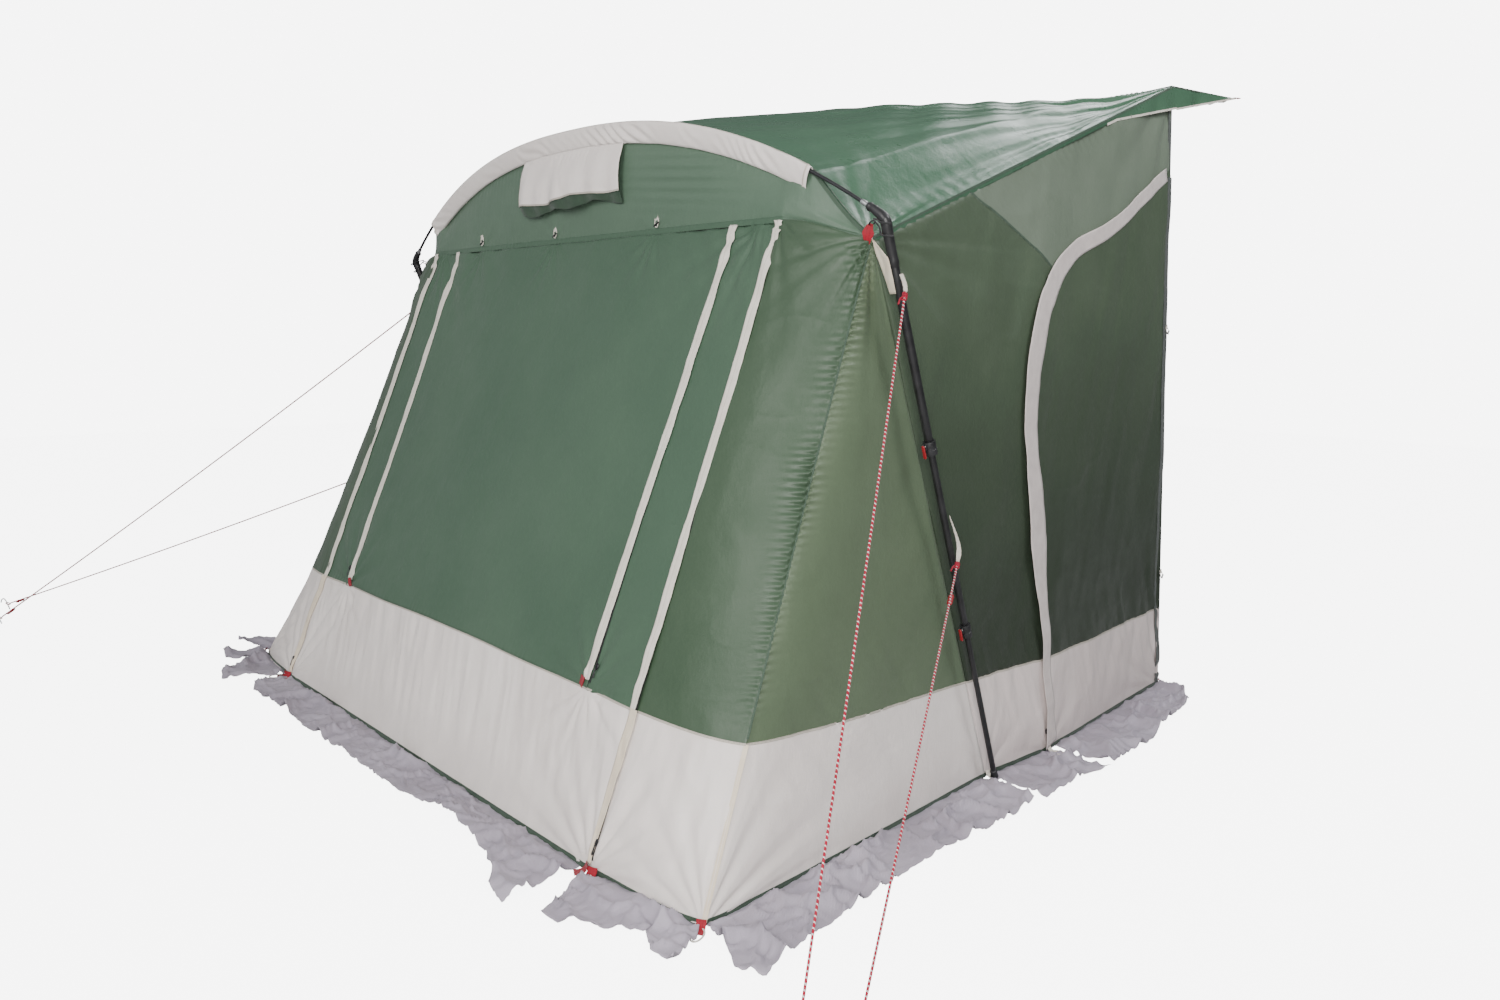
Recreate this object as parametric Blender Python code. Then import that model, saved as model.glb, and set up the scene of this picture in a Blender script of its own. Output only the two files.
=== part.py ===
"""Tailgate awning tent: a front arch on two telescopic legs, a roof that rises to a
straight rear edge on two telescopic uprights, zipped front and side doors, ground
skirts and guy ropes.

Metres, +Z up, +X to the tent's own left-hand side as seen from inside looking out,
-Y to the front. Heights are above the ground. Lengths along Y are first given from
the line of the two leg feet; the empty named awning then moves everything so that
the origin is at the middle of the footprint.
"""

import math

import bmesh
import bpy
from mathutils import Matrix, Vector

# ---------------------------------------------------------------- driving dimensions
FOOTPRINT_SHIFT_Y = -0.063  # from the foot line to the middle of the footprint

# Front wall, between the hem on the ground and the upper seam.
FRONT_HEM_Y = -1.363
SEAM_Y = -0.682
SEAM_Z = 1.722
DOOR_HALF_WIDTH_HEM = 1.136  # outer zips at the hem
DOOR_HALF_WIDTH_SEAM = 1.100  # outer zips at the upper seam
WINDOW_HALF_WIDTH = 0.920
WINDOW_SILL_Z = 0.395
WINDOW_HEAD_Z = 1.690

# Corner seam between the front and the side wall, from the hem up to the tie point.
HEM_CORNER = Vector((1.565, -1.310, 0.0))
BAND_CORNER = Vector((1.483, -1.111, 0.388))
TIE_POINT = Vector((1.371, -0.593, 1.662))

# Side wall hem and the rear edge that stands along the upright.
HEM_AT_LEG = Vector((1.345, 0.000, 0.0))
HEM_AT_SIDE_ZIP = Vector((1.316, 0.364, 0.0))
HEM_REAR = Vector((1.107, 1.370, 0.0))
ROOF_PEAK = Vector((1.049, 1.334, 2.351))
FLAP_LENGTH = 0.432
FLAP_RISE = 0.009
VALANCE_DROP = 0.085  # at the rear peak
VALANCE_MIN_DROP = 0.014

# The side door's zip, as (y, z) from the hem up and back to the rear edge.
SIDE_ZIP_YZ = (
    (0.364, 0.000),
    (0.300, 0.400),
    (0.235, 0.780),
    (0.172, 1.130),
    (0.205, 1.380),
    (0.310, 1.550),
    (0.500, 1.685),
    (0.830, 1.800),
    (1.322, 2.036),
)
SIDE_PLANE_Y_SLOPE = -0.2078  # how the side wall's x falls with y
SIDE_PLANE_Z_SLOPE = -0.0289  # and with height

# Arch, as its outer line: a flattened curve that leans forward.
ARCH_HALF_SPAN = 1.451
ARCH_BASE_Z = 1.710
ARCH_RISE = 0.370
ARCH_POWER = 2.38
ARCH_BASE_Y = -0.627
ARCH_LEAN = -0.197  # y gained for each metre of height
SLEEVE_END_X = 1.190
ROD_RADIUS = 0.0055
SLEEVE_DROP = 0.020  # from the rod to the middle of the sleeve's section
SLEEVE_HALF_HEIGHT = 0.034
SLEEVE_HALF_DEPTH = 0.012
SLEEVE_SKIN = 0.0022

# Legs, from the elbow down to the foot.
LEG_TOP = Vector((ARCH_HALF_SPAN, ARCH_BASE_Y, ARCH_BASE_Z))
LEG_FOOT = Vector((1.382, 0.0, 0.006))
UPPER_CLAMP_SHARE = 0.363  # of the leg's length, from the top
LOWER_CLAMP_SHARE = 0.695
UPPER_TUBE = (0.0125, 0.0113)  # outer and inner radius
MIDDLE_TUBE = (0.0106, 0.0094)
LOWER_TUBE = (0.0088, 0.0076)
TUBE_OVERLAP = 0.10  # length of each inner tube that stays inside the next one
ELBOW_MOUTH_X = 1.395

# Rear uprights and the bar between them.
UPRIGHT_FOOT = Vector((1.060, 1.345, 0.001))
UPRIGHT_TOP = Vector((1.006, 1.312, 2.318))
UPRIGHT_JOINT_Z = 1.05
CROSS_BAR_Z = 2.285
CROSS_BAR_HALF_LENGTH = 0.989

# Vent hood on the upper front panel.
HOOD_HALF_WIDTH = 0.325
HOOD_HINGE_Z = 2.010
HOOD_BOTTOM_Z = 1.858
HOOD_STAND_OFF = 0.050

# Ground skirts.
SKIRT_THICKNESS = 0.003
SKIRT_FRONT_Y = -1.640

# Guy ropes: (leg share from the top, ground point) for each side.
ROPE_RADIUS = 0.0030
ROPE_SAG_SHARE = 0.006
ROPES = {
    "guy_rope_right_upper": (0.112, Vector((2.097, -1.483, 0.0))),
    "guy_rope_right_lower": (0.565, Vector((2.170, -1.393, 0.0))),
    "guy_rope_left_upper": (0.098, Vector((-2.880, -2.130, 0.0))),
    "guy_rope_left_lower": (0.455, Vector((-3.200, -2.050, 0.0))),
}

# Fabric solids and the gaps between neighbours.
FABRIC = 0.0024
SEAM_GAP = 0.004
HEM_Z = 0.008

# ---------------------------------------------------------------- materials
COLOURS = {
    # name: (red, green, blue), roughness, metallic
    "green_fabric": ((0.075, 0.125, 0.085), 0.62, 0.0),
    "beige_fabric": ((0.560, 0.520, 0.470), 0.65, 0.0),
    "skirt_fabric": ((0.360, 0.340, 0.350), 0.70, 0.0),
    "insect_mesh": ((0.020, 0.022, 0.022), 0.80, 0.0),
    "black_tube": ((0.012, 0.012, 0.014), 0.32, 0.6),
    "arch_rod": ((0.010, 0.010, 0.012), 0.38, 0.0),
    "bright_ferrule": ((0.640, 0.640, 0.650), 0.28, 1.0),
    "black_plastic": ((0.014, 0.014, 0.016), 0.45, 0.0),
    "red_plastic": ((0.420, 0.012, 0.025), 0.42, 0.0),
    "zip_metal": ((0.018, 0.018, 0.020), 0.35, 0.8),
    "rope_red": ((0.520, 0.045, 0.075), 0.75, 0.0),
    "peg_steel": ((0.520, 0.520, 0.530), 0.30, 1.0),
}


def make_materials():
    made = {}
    for name, (colour, roughness, metallic) in COLOURS.items():
        material = bpy.data.materials.new(name)
        material.use_nodes = True
        shader = material.node_tree.nodes["Principled BSDF"]
        shader.inputs["Base Color"].default_value = (*colour, 1.0)
        shader.inputs["Roughness"].default_value = roughness
        shader.inputs["Metallic"].default_value = metallic
        made[name] = material
    return made


# ---------------------------------------------------------------- building helpers
def clear_scene():
    for leftover in list(bpy.data.objects):
        bpy.data.objects.remove(leftover)


def add_object(name, data, material, origin=None, base=None):
    """Links a mesh or curve as a named piece; origin is where its own centre goes."""
    piece = bpy.data.objects.new(name, data)
    bpy.context.scene.collection.objects.link(piece)
    data.materials.append(material)
    if origin is not None:
        data.transform(Matrix.Translation(-origin))
        piece.location = origin
    piece.parent = base
    return piece


def mesh_from_patches(name, patches):
    """One mesh from grids of points; grids that share an edge are welded there."""
    builder = bmesh.new()
    for patch in patches:
        rows = [[builder.verts.new(point) for point in row] for row in patch]
        for low, high in zip(rows, rows[1:]):
            for i in range(len(low) - 1):
                builder.faces.new((low[i], low[i + 1], high[i + 1], high[i]))
    bmesh.ops.remove_doubles(builder, verts=builder.verts, dist=0.00005)
    bmesh.ops.dissolve_degenerate(builder, edges=builder.edges, dist=0.00005)
    bmesh.ops.recalc_face_normals(builder, faces=builder.faces)
    mesh = bpy.data.meshes.new(name)
    builder.to_mesh(mesh)
    builder.free()
    return mesh


def fabric_piece(name, patches, material, base, origin=None, thickness=FABRIC):
    """A sheet of cloth with its thickness on both sides of the given surface."""
    mesh = mesh_from_patches(name, patches)
    mesh.shade_smooth()
    mesh.set_sharp_from_angle(angle=math.radians(35))
    piece = add_object(name, mesh, material, origin, base)
    solidify = piece.modifiers.new("cloth thickness", "SOLIDIFY")
    solidify.thickness = thickness
    solidify.offset = 0.0
    solidify.use_even_offset = False
    return piece


def ruled(first, second, trims=(0.0, 0.0), columns=2):
    """A grid of points between two lines of equal count, trimmed by a length each end."""
    grid = []
    for a, b in zip(first, second):
        width = max((b - a).length, 1e-6)
        low = min(trims[0] / width, 0.45)
        high = 1.0 - min(trims[1] / width, 0.45)
        shares = [low + (high - low) * i / columns for i in range(columns + 1)]
        grid.append([a.lerp(b, share) for share in shares])
    return grid


def smooth_line(points, count):
    """count points on a smooth curve through the given ones, evenly by parameter."""
    ends = [points[0] * 2 - points[1], *points, points[-1] * 2 - points[-2]]
    spans = len(points) - 1
    line = []
    for k in range(count):
        along = k * spans / (count - 1)
        i = min(int(along), spans - 1)
        t = along - i
        p0, p1, p2, p3 = ends[i : i + 4]
        line.append(
            (
                p1 * 2
                + (p2 - p0) * t
                + (p0 * 2 - p1 * 5 + p2 * 4 - p3) * t**2
                + (p1 * 3 - p0 - p2 * 3 + p3) * t**3
            )
            / 2
        )
    return line


def straight(start, end, count):
    return [start.lerp(end, k / (count - 1)) for k in range(count)]


def tube_frames(path, reference):
    """For each point of a path, its two crossing directions; the first lies near reference."""
    frames = []
    for i, point in enumerate(path):
        before = path[max(i - 1, 0)]
        after = path[min(i + 1, len(path) - 1)]
        along = (after - before).normalized()
        first = (reference - along * reference.dot(along)).normalized()
        frames.append((first, along.cross(first)))
    return frames


def ring_section(count, half_first, half_second, shift=0.0):
    """Points of an oval as (first, second) offsets, shifted along the first direction."""
    turn = 2 * math.pi / count
    return [
        (shift + half_first * math.cos(i * turn), half_second * math.sin(i * turn))
        for i in range(count)
    ]


def swept_mesh(name, path, reference, outer, inner=None):
    """Sweeps oval sections along a path. outer and inner give one section per point;
    with inner the body is a pipe that is open at both ends."""
    builder = bmesh.new()
    frames = tube_frames(path, reference)

    def rings_of(sections):
        rings = []
        for point, (first, second), section in zip(path, frames, sections):
            rings.append(
                [builder.verts.new(point + first * a + second * b) for a, b in section]
            )
        return rings

    def skin(rings):
        for low, high in zip(rings, rings[1:]):
            count = len(low)
            for i in range(count):
                j = (i + 1) % count
                builder.faces.new((low[i], low[j], high[j], high[i]))

    outer_rings = rings_of(outer)
    skin(outer_rings)
    if inner:
        inner_rings = rings_of(inner)
        skin(inner_rings)
        skin([outer_rings[0], inner_rings[0]])
        skin([outer_rings[-1], inner_rings[-1]])
    else:
        builder.faces.new(outer_rings[0])
        builder.faces.new(outer_rings[-1])
    bmesh.ops.recalc_face_normals(builder, faces=builder.faces)
    mesh = bpy.data.meshes.new(name)
    builder.to_mesh(mesh)
    builder.free()
    mesh.shade_smooth()
    mesh.set_sharp_from_angle(angle=math.radians(40))
    return mesh


def pipe(name, start, end, radii, material, base, origin=None, sides=16):
    """A straight tube that is open at both ends."""
    outer, inner = (ring_section(sides, radius, radius) for radius in radii)
    reference = Vector((1.0, 0.0, 0.0))
    if abs((end - start).normalized().x) > 0.9:
        reference = Vector((0.0, 0.0, 1.0))
    mesh = swept_mesh(name, [start, end], reference, [outer] * 2, [inner] * 2)
    return add_object(name, mesh, material, origin, base)


def block_mesh(name, centre, outward, along, half_sizes, bevel=0.0):
    """A box along outward, along and their cross direction, with rounded edges."""
    builder = bmesh.new()
    bmesh.ops.create_cube(builder, size=2.0)
    bmesh.ops.scale(builder, verts=builder.verts, vec=half_sizes)
    if bevel:
        bmesh.ops.bevel(
            builder,
            geom=list(builder.edges),
            offset=bevel,
            segments=2,
            profile=0.5,
            affect="EDGES",
        )
    turned = Matrix((outward, along, outward.cross(along))).transposed().to_4x4()
    bmesh.ops.transform(builder, matrix=Matrix.Translation(centre) @ turned, verts=builder.verts)
    mesh = bpy.data.meshes.new(name)
    builder.to_mesh(mesh)
    builder.free()
    return mesh


def mirrored(point, side):
    return Vector((point.x * side, point.y, point.z))


def mirrored_patches(patches, side):
    return [[[mirrored(point, side) for point in row] for row in patch] for patch in patches]


# ---------------------------------------------------------------- shape of the tent
def front_point(x, z, stand_off=0.0):
    """On the sloping front wall; stand_off is measured out from the wall."""
    slope = Vector((0.0, SEAM_Y - FRONT_HEM_Y, SEAM_Z)).normalized()
    outward = Vector((0.0, -slope.z, slope.y))
    y = FRONT_HEM_Y + (SEAM_Y - FRONT_HEM_Y) * z / SEAM_Z
    return Vector((x, y, z)) + outward * stand_off


def outer_zip_x(z):
    return DOOR_HALF_WIDTH_HEM + (DOOR_HALF_WIDTH_SEAM - DOOR_HALF_WIDTH_HEM) * z / SEAM_Z


def corner_seam(z):
    """The corner seam is a shallow curve through its hem, band and tie points."""
    z1, z2 = BAND_CORNER.z, TIE_POINT.z
    low_rate = (BAND_CORNER - HEM_CORNER) / z1
    high_rate = (TIE_POINT - BAND_CORNER) / (z2 - z1)
    bend = (high_rate - low_rate) / z2
    point = HEM_CORNER + low_rate * z + bend * (z * (z - z1))
    point.z = z
    return point


def arch_point(x, drop=0.0):
    """On the arch; drop moves the point down inside the arch's own plane."""
    z = ARCH_BASE_Z + ARCH_RISE * (1 - (abs(x) / ARCH_HALF_SPAN) ** ARCH_POWER) - drop
    return Vector((x, ARCH_BASE_Y + ARCH_LEAN * (z - ARCH_BASE_Z), z))


def upper_seam(x):
    """The seam across the front under the vent, falling at both ends to the tie points."""
    reach = abs(x) - DOOR_HALF_WIDTH_SEAM
    if reach <= 0:
        return Vector((x, SEAM_Y, SEAM_Z))
    share = reach / (TIE_POINT.x - DOOR_HALF_WIDTH_SEAM)
    end = mirrored(TIE_POINT, math.copysign(1.0, x))
    start = Vector((math.copysign(DOOR_HALF_WIDTH_SEAM, x), SEAM_Y, SEAM_Z))
    return start.lerp(end, share)


def roof_front_edge(x):
    """Behind the sleeve along the arch, then down the free edge to the tie point."""
    set_back = Vector((0.0, 0.0175, -0.004))
    if abs(x) <= SLEEVE_END_X:
        return arch_point(x) + set_back
    side = math.copysign(1.0, x)
    start = arch_point(SLEEVE_END_X * side) + set_back
    share = (abs(x) - SLEEVE_END_X) / (TIE_POINT.x - SLEEVE_END_X)
    return start.lerp(mirrored(TIE_POINT, side), share)


def side_wall_point(y, z):
    """On the side wall behind the leg."""
    x = (
        HEM_AT_SIDE_ZIP.x
        + SIDE_PLANE_Y_SLOPE * (y - HEM_AT_SIDE_ZIP.y)
        + SIDE_PLANE_Z_SLOPE * z
    )
    return Vector((x, y, z))


def rear_edge(z):
    """The side wall's rear edge, along the upright."""
    return HEM_REAR.lerp(ROOF_PEAK, z / ROOF_PEAK.z)


def leg_point(distance):
    return LEG_TOP + (LEG_FOOT - LEG_TOP).normalized() * distance


def leg_length():
    return (LEG_FOOT - LEG_TOP).length


def leg_directions(side):
    """Down the leg, outward from the tent, and forward across the leg."""
    down = (mirrored(LEG_FOOT, side) - mirrored(LEG_TOP, side)).normalized()
    sideways = Vector((side, 0.0, 0.0))
    outward = (sideways - down * sideways.dot(down)).normalized()
    return down, outward, down.cross(outward) * side


# ---------------------------------------------------------------- cloth
def make_roof(materials, base):
    half = TIE_POINT.x - 0.004
    columns = 18
    rows = 8
    xs = [half * (2 * i / columns - 1) for i in range(columns + 1)]
    front = [roof_front_edge(x) for x in xs]
    rear = [Vector((x * ROOF_PEAK.x / half, ROOF_PEAK.y, ROOF_PEAK.z)) for x in xs]
    shares = [k / rows for k in range(rows + 1)]
    grid = [[a.lerp(b, share) for a, b in zip(front, rear)] for share in shares]
    for k in (1, 2):
        step = Vector((0.0, FLAP_LENGTH, FLAP_RISE)) * (k / 2)
        grid.append([point + step for point in rear])
    # The valance hangs outside the wall: short at the front, deepest at the rear peak.
    drop_share = [max(0.0, (share - 0.754) / 0.246) for share in shares] + [0.5, 0.0]
    for row, share in zip(grid, drop_share):
        drop = VALANCE_MIN_DROP + (VALANCE_DROP - VALANCE_MIN_DROP) * share
        row.insert(0, row[0] + Vector((-0.004, 0.0, -drop)))
        row.append(row[-1] + Vector((0.004, 0.0, -drop)))
    fabric_piece("roof", [grid], materials["green_fabric"], base)


def make_arch_sleeve(materials, base):
    count = 31
    xs = [SLEEVE_END_X * (2 * i / (count - 1) - 1) for i in range(count)]
    path = [arch_point(x) for x in xs]
    section = ring_section(12, SLEEVE_HALF_HEIGHT, SLEEVE_HALF_DEPTH, -SLEEVE_DROP)
    hollow = ring_section(
        12,
        SLEEVE_HALF_HEIGHT - SLEEVE_SKIN,
        SLEEVE_HALF_DEPTH - SLEEVE_SKIN,
        -SLEEVE_DROP,
    )
    mesh = swept_mesh(
        "arch_sleeve", path, Vector((0, ARCH_LEAN, 1)), [section] * count, [hollow] * count
    )
    add_object("arch_sleeve", mesh, materials["beige_fabric"], None, base)


def make_front_upper_panel(materials, base):
    reach = 1.335
    columns = 20
    xs = [reach * (2 * i / columns - 1) for i in range(columns + 1)]
    under_sleeve = SLEEVE_DROP + SLEEVE_HALF_HEIGHT + 0.006
    top = []
    for x in xs:
        side = math.copysign(1.0, x)
        reach_share = max(0.0, (abs(x) - SLEEVE_END_X) / (TIE_POINT.x - SLEEVE_END_X))
        inner = arch_point(min(abs(x), SLEEVE_END_X) * side, under_sleeve)
        top.append(inner.lerp(mirrored(TIE_POINT, side), reach_share))
    bottom = [upper_seam(x) for x in xs]
    columns_first = ruled(bottom, top, (SEAM_GAP, 0.0), 3)
    fabric_piece("front_upper_panel", [columns_first], materials["green_fabric"], base)


def make_front_corner(side, label, materials, base):
    rows = 9
    heights = [HEM_Z + (TIE_POINT.z - 0.010 - HEM_Z) * k / (rows - 1) for k in range(rows)]
    seam = [corner_seam(z) for z in heights]
    # Beside the zip the panel reaches the upper seam, which is higher than the tie point.
    lift = (SEAM_Z - SEAM_GAP - HEM_Z) / (TIE_POINT.z - 0.010 - HEM_Z)
    zip_heights = [HEM_Z + (z - HEM_Z) * lift for z in heights]
    zip_line = [front_point(outer_zip_x(z), z) for z in zip_heights]
    grid = ruled(zip_line, seam, (SEAM_GAP, SEAM_GAP + 0.002), 3)
    patches = mirrored_patches([grid], side)
    fabric_piece(f"front_corner_{label}", patches, materials["green_fabric"], base)


def make_front_door(materials, base):
    """The door is a frame of cloth round the window."""
    heights = (HEM_Z, 0.2, WINDOW_SILL_Z, 0.70, 1.05, 1.40, WINDOW_HEAD_Z, SEAM_Z - SEAM_GAP)
    hinge = Vector((0.0, SEAM_Y, SEAM_Z))
    patches = []
    inner = WINDOW_HALF_WIDTH + SEAM_GAP
    for side in (-1, 1):
        strip = []
        for z in heights:
            outer = outer_zip_x(z) - SEAM_GAP
            strip.append([front_point(side * x, z) for x in (inner, (inner + outer) / 2, outer)])
        patches.append(strip)
    crossing = [inner * (2 * i / 6 - 1) for i in range(7)]
    for rows in (heights[:3], heights[-2:]):
        patches.append([[front_point(x, z) for x in crossing] for z in rows])
    fabric_piece("front_door", patches, materials["green_fabric"], base, hinge)


def window_grid(half_width, low, high, stand_off):
    heights = [low + (high - low) * k / 5 for k in range(6)]
    xs = [half_width * (2 * i / 6 - 1) for i in range(7)]
    return [[front_point(x, z, stand_off) for x in xs] for z in heights]


def make_window(materials, base):
    mesh_grid = window_grid(
        WINDOW_HALF_WIDTH - 0.002, WINDOW_SILL_Z + 0.005, WINDOW_HEAD_Z - 0.005, 0.0
    )
    fabric_piece(
        "window_mesh", [mesh_grid], materials["insect_mesh"], base, None, FABRIC / 2
    )
    cover_grid = window_grid(
        WINDOW_HALF_WIDTH + 0.006, WINDOW_SILL_Z - 0.008, WINDOW_HEAD_Z + 0.010, 0.006
    )
    hinge = front_point(0.0, WINDOW_HEAD_Z + 0.010, 0.006)
    fabric_piece("window_cover", [cover_grid], materials["green_fabric"], base, hinge)


def side_zip_line(count, low=0.0, high_share=1.0):
    """The side door's zip; low trims it at the hem and high_share at the rear edge."""
    points = [side_wall_point(y, z) for y, z in SIDE_ZIP_YZ]
    points[0] = points[0].lerp(points[1], low / points[1].z)
    points[-1] = points[-2].lerp(points[-1], high_share)
    return smooth_line(points, count)


def make_side_wall(side, label, materials, base):
    """A gore in front of the leg line, and a band round the side door behind it."""
    rows = 9
    top = TIE_POINT + Vector((-0.007, 0.0, -0.012))
    fold_foot = HEM_AT_LEG + Vector((0.0, 0.0, HEM_Z))
    fold = straight(fold_foot, top, rows)
    seam = [corner_seam(point.z) for point in fold]
    seam[-1] = top
    gore = ruled(seam, fold, (SEAM_GAP + 0.002, 0.0), 2)
    roof_line_end = ROOF_PEAK + Vector((-0.007, 0.0, -0.016))
    roof_line = straight(top, roof_line_end, rows)
    outer_line = fold + roof_line[1:]
    zip_line = side_zip_line(len(outer_line), HEM_Z)
    band = ruled(outer_line, zip_line, (0.0, SEAM_GAP / 2), 2)
    gore[-1] = [top, top, top]
    patches = mirrored_patches([gore, band], side)
    fabric_piece(f"side_wall_{label}", patches, materials["green_fabric"], base)


def make_side_door(side, label, materials, base):
    rows = 17
    zip_line = side_zip_line(rows, HEM_Z, 0.93)
    top_z = SIDE_ZIP_YZ[-1][1] - 0.028
    rear = [rear_edge(HEM_Z + (top_z - HEM_Z) * k / (rows - 1)) for k in range(rows)]
    grid = ruled(zip_line, rear, (SEAM_GAP / 2, 0.0), 3)
    hinge = mirrored(rear_edge(0.0), side)
    patches = mirrored_patches([grid], side)
    fabric_piece(f"side_door_{label}", patches, materials["green_fabric"], base, hinge)


def make_vent_hood(materials, base):
    """A flap that hangs from the sleeve's lower edge and stands off the panel below it."""
    columns = 6
    top, bottom = [], []
    for i in range(columns + 1):
        share = 2 * i / columns - 1
        x = HOOD_HALF_WIDTH * share
        start = arch_point(x, SLEEVE_DROP + SLEEVE_HALF_HEIGHT + 0.005)
        top.append(start + Vector((0.0, -0.008, 0.0)))
        out = HOOD_STAND_OFF * (1 - 0.45 * share**2)
        bottom.append(Vector((x, SEAM_Y - 0.010 - out, HOOD_BOTTOM_Z)))
    grid = ruled(top, bottom, (0.0, 0.0), 3)
    fabric_piece("vent_hood", [grid], materials["beige_fabric"], base, hood_hinge())


def hood_hinge():
    return Vector((0.0, arch_point(0.0).y - 0.008, HOOD_HINGE_Z))


def flat_plate(name, inner, outer, material, base, origin=None):
    """A thin plate on the ground between two outlines of equal count."""
    grid = ruled(inner, outer, (0.0, 0.0), 2)
    grid = [[point + Vector((0, 0, SKIRT_THICKNESS / 2)) for point in row] for row in grid]
    return fabric_piece(name, [grid], material, base, origin, SKIRT_THICKNESS)


def make_skirts(materials, base):
    cloth = materials["skirt_fabric"]
    tuck = 0.008  # the skirt runs this far under the wall
    front_half = DOOR_HALF_WIDTH_HEM + 0.008
    xs = [front_half * (2 * i / 6 - 1) for i in range(7)]
    hinge = Vector((0.0, SEAM_Y, SEAM_Z))
    inner = [Vector((x, FRONT_HEM_Y + tuck, 0.0)) for x in xs]
    outer = [Vector((x, SKIRT_FRONT_Y, 0.0)) for x in xs]
    flat_plate("skirt_front", inner, outer, cloth, base, hinge)
    for side, label in ((1, "right"), (-1, "left")):
        inner = [
            Vector((front_half + 0.012, FRONT_HEM_Y + tuck, 0.0)),
            HEM_CORNER + Vector((-tuck, tuck, 0.0)),
            HEM_CORNER + Vector((-tuck - 0.001, 2 * tuck, 0.0)),
            HEM_AT_LEG + Vector((-tuck, 0.0, 0.0)),
            HEM_AT_SIDE_ZIP + Vector((-tuck, 0.0, 0.0)),
        ]
        outer = [
            Vector((front_half + 0.014, -1.610, 0.0)),
            Vector((1.610, -1.530, 0.0)),
            Vector((1.800, -1.330, 0.0)),
            Vector((1.590, 0.000, 0.0)),
            Vector((1.550, 0.372, 0.0)),
        ]
        inner, outer = ([mirrored(p, side) for p in line] for line in (inner, outer))
        flat_plate(f"skirt_side_{label}", inner, outer, cloth, base)
        inner = [HEM_AT_SIDE_ZIP + Vector((-tuck, 0.010, 0.0)), HEM_REAR + Vector((-tuck, 0, 0))]
        outer = [Vector((1.548, 0.382, 0.0)), Vector((1.350, 1.360, 0.0))]
        inner, outer = ([mirrored(p, side) for p in line] for line in (inner, outer))
        hinge = mirrored(rear_edge(0.0), side)
        flat_plate(f"skirt_door_{label}", inner, outer, cloth, base, hinge)


# ---------------------------------------------------------------- poles
def make_arch_pole(materials, base):
    count = 45
    reach = ELBOW_MOUTH_X + 0.022
    xs = [reach * math.sin(math.pi / 2 * (2 * i / (count - 1) - 1)) for i in range(count)]
    path = [arch_point(x) for x in xs]
    section = ring_section(10, ROD_RADIUS, ROD_RADIUS)
    mesh = swept_mesh("arch_pole", path, Vector((0, 1, 0)), [section] * count)
    add_object("arch_pole", mesh, materials["arch_rod"], None, base)


def make_elbow(side, label, materials, base):
    """A moulded bend: the ferrule of the arch in one mouth, the leg in the other."""
    bend = [
        arch_point(ELBOW_MOUTH_X),
        arch_point(ELBOW_MOUTH_X + 0.030),
        LEG_TOP + Vector((-0.002, 0.003, -0.006)),
        leg_point(0.040),
        leg_point(0.060),
        leg_point(0.140),
    ]
    path = [mirrored(point, side) for point in smooth_line(bend, 16)]
    outer_key = (0.0125, 0.0155, 0.0200, 0.0190, 0.0178, 0.0160)
    inner_key = (0.0088, 0.0088, 0.0100, 0.0134, 0.0134, 0.0134)

    def sections(keys):
        made = []
        for k in range(len(path)):
            along = k * (len(keys) - 1) / (len(path) - 1)
            i = min(int(along), len(keys) - 2)
            radius = keys[i] + (keys[i + 1] - keys[i]) * (along - i)
            made.append(ring_section(14, radius, radius))
        return made

    mesh = swept_mesh(
        f"elbow_{label}", path, Vector((0, 1, 0)), sections(outer_key), sections(inner_key)
    )
    add_object(f"elbow_{label}", mesh, materials["black_plastic"], None, base)
    ends = (ELBOW_MOUTH_X - 0.022, ELBOW_MOUTH_X + 0.024)
    start, end = (mirrored(arch_point(x), side) for x in ends)
    pipe(
        f"elbow_ferrule_{label}",
        start,
        end,
        (0.0078, 0.0064),
        materials["bright_ferrule"],
        base,
        sides=14,
    )


def make_leg(side, label, materials, base):
    tube = materials["black_tube"]
    length = leg_length()
    upper_end = UPPER_CLAMP_SHARE * length
    middle_end = LOWER_CLAMP_SHARE * length
    stretches = {
        "upper": (0.062, upper_end, UPPER_TUBE),
        "middle": (upper_end - TUBE_OVERLAP, middle_end, MIDDLE_TUBE),
        "lower": (middle_end - TUBE_OVERLAP, length - 0.012, LOWER_TUBE),
    }
    for name, (start, end, radii) in stretches.items():
        ends = [mirrored(leg_point(distance), side) for distance in (start, end)]
        origin = None if name == "upper" else ends[0]
        pipe(f"leg_{name}_{label}", *ends, radii, tube, base, origin)
    make_foot(side, label, length, materials, base)
    clamps = (("upper", upper_end, UPPER_TUBE[0]), ("lower", middle_end, MIDDLE_TUBE[0]))
    for name, distance, radius in clamps:
        make_clamp(side, f"{name}_{label}", distance, radius, materials, base)


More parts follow.
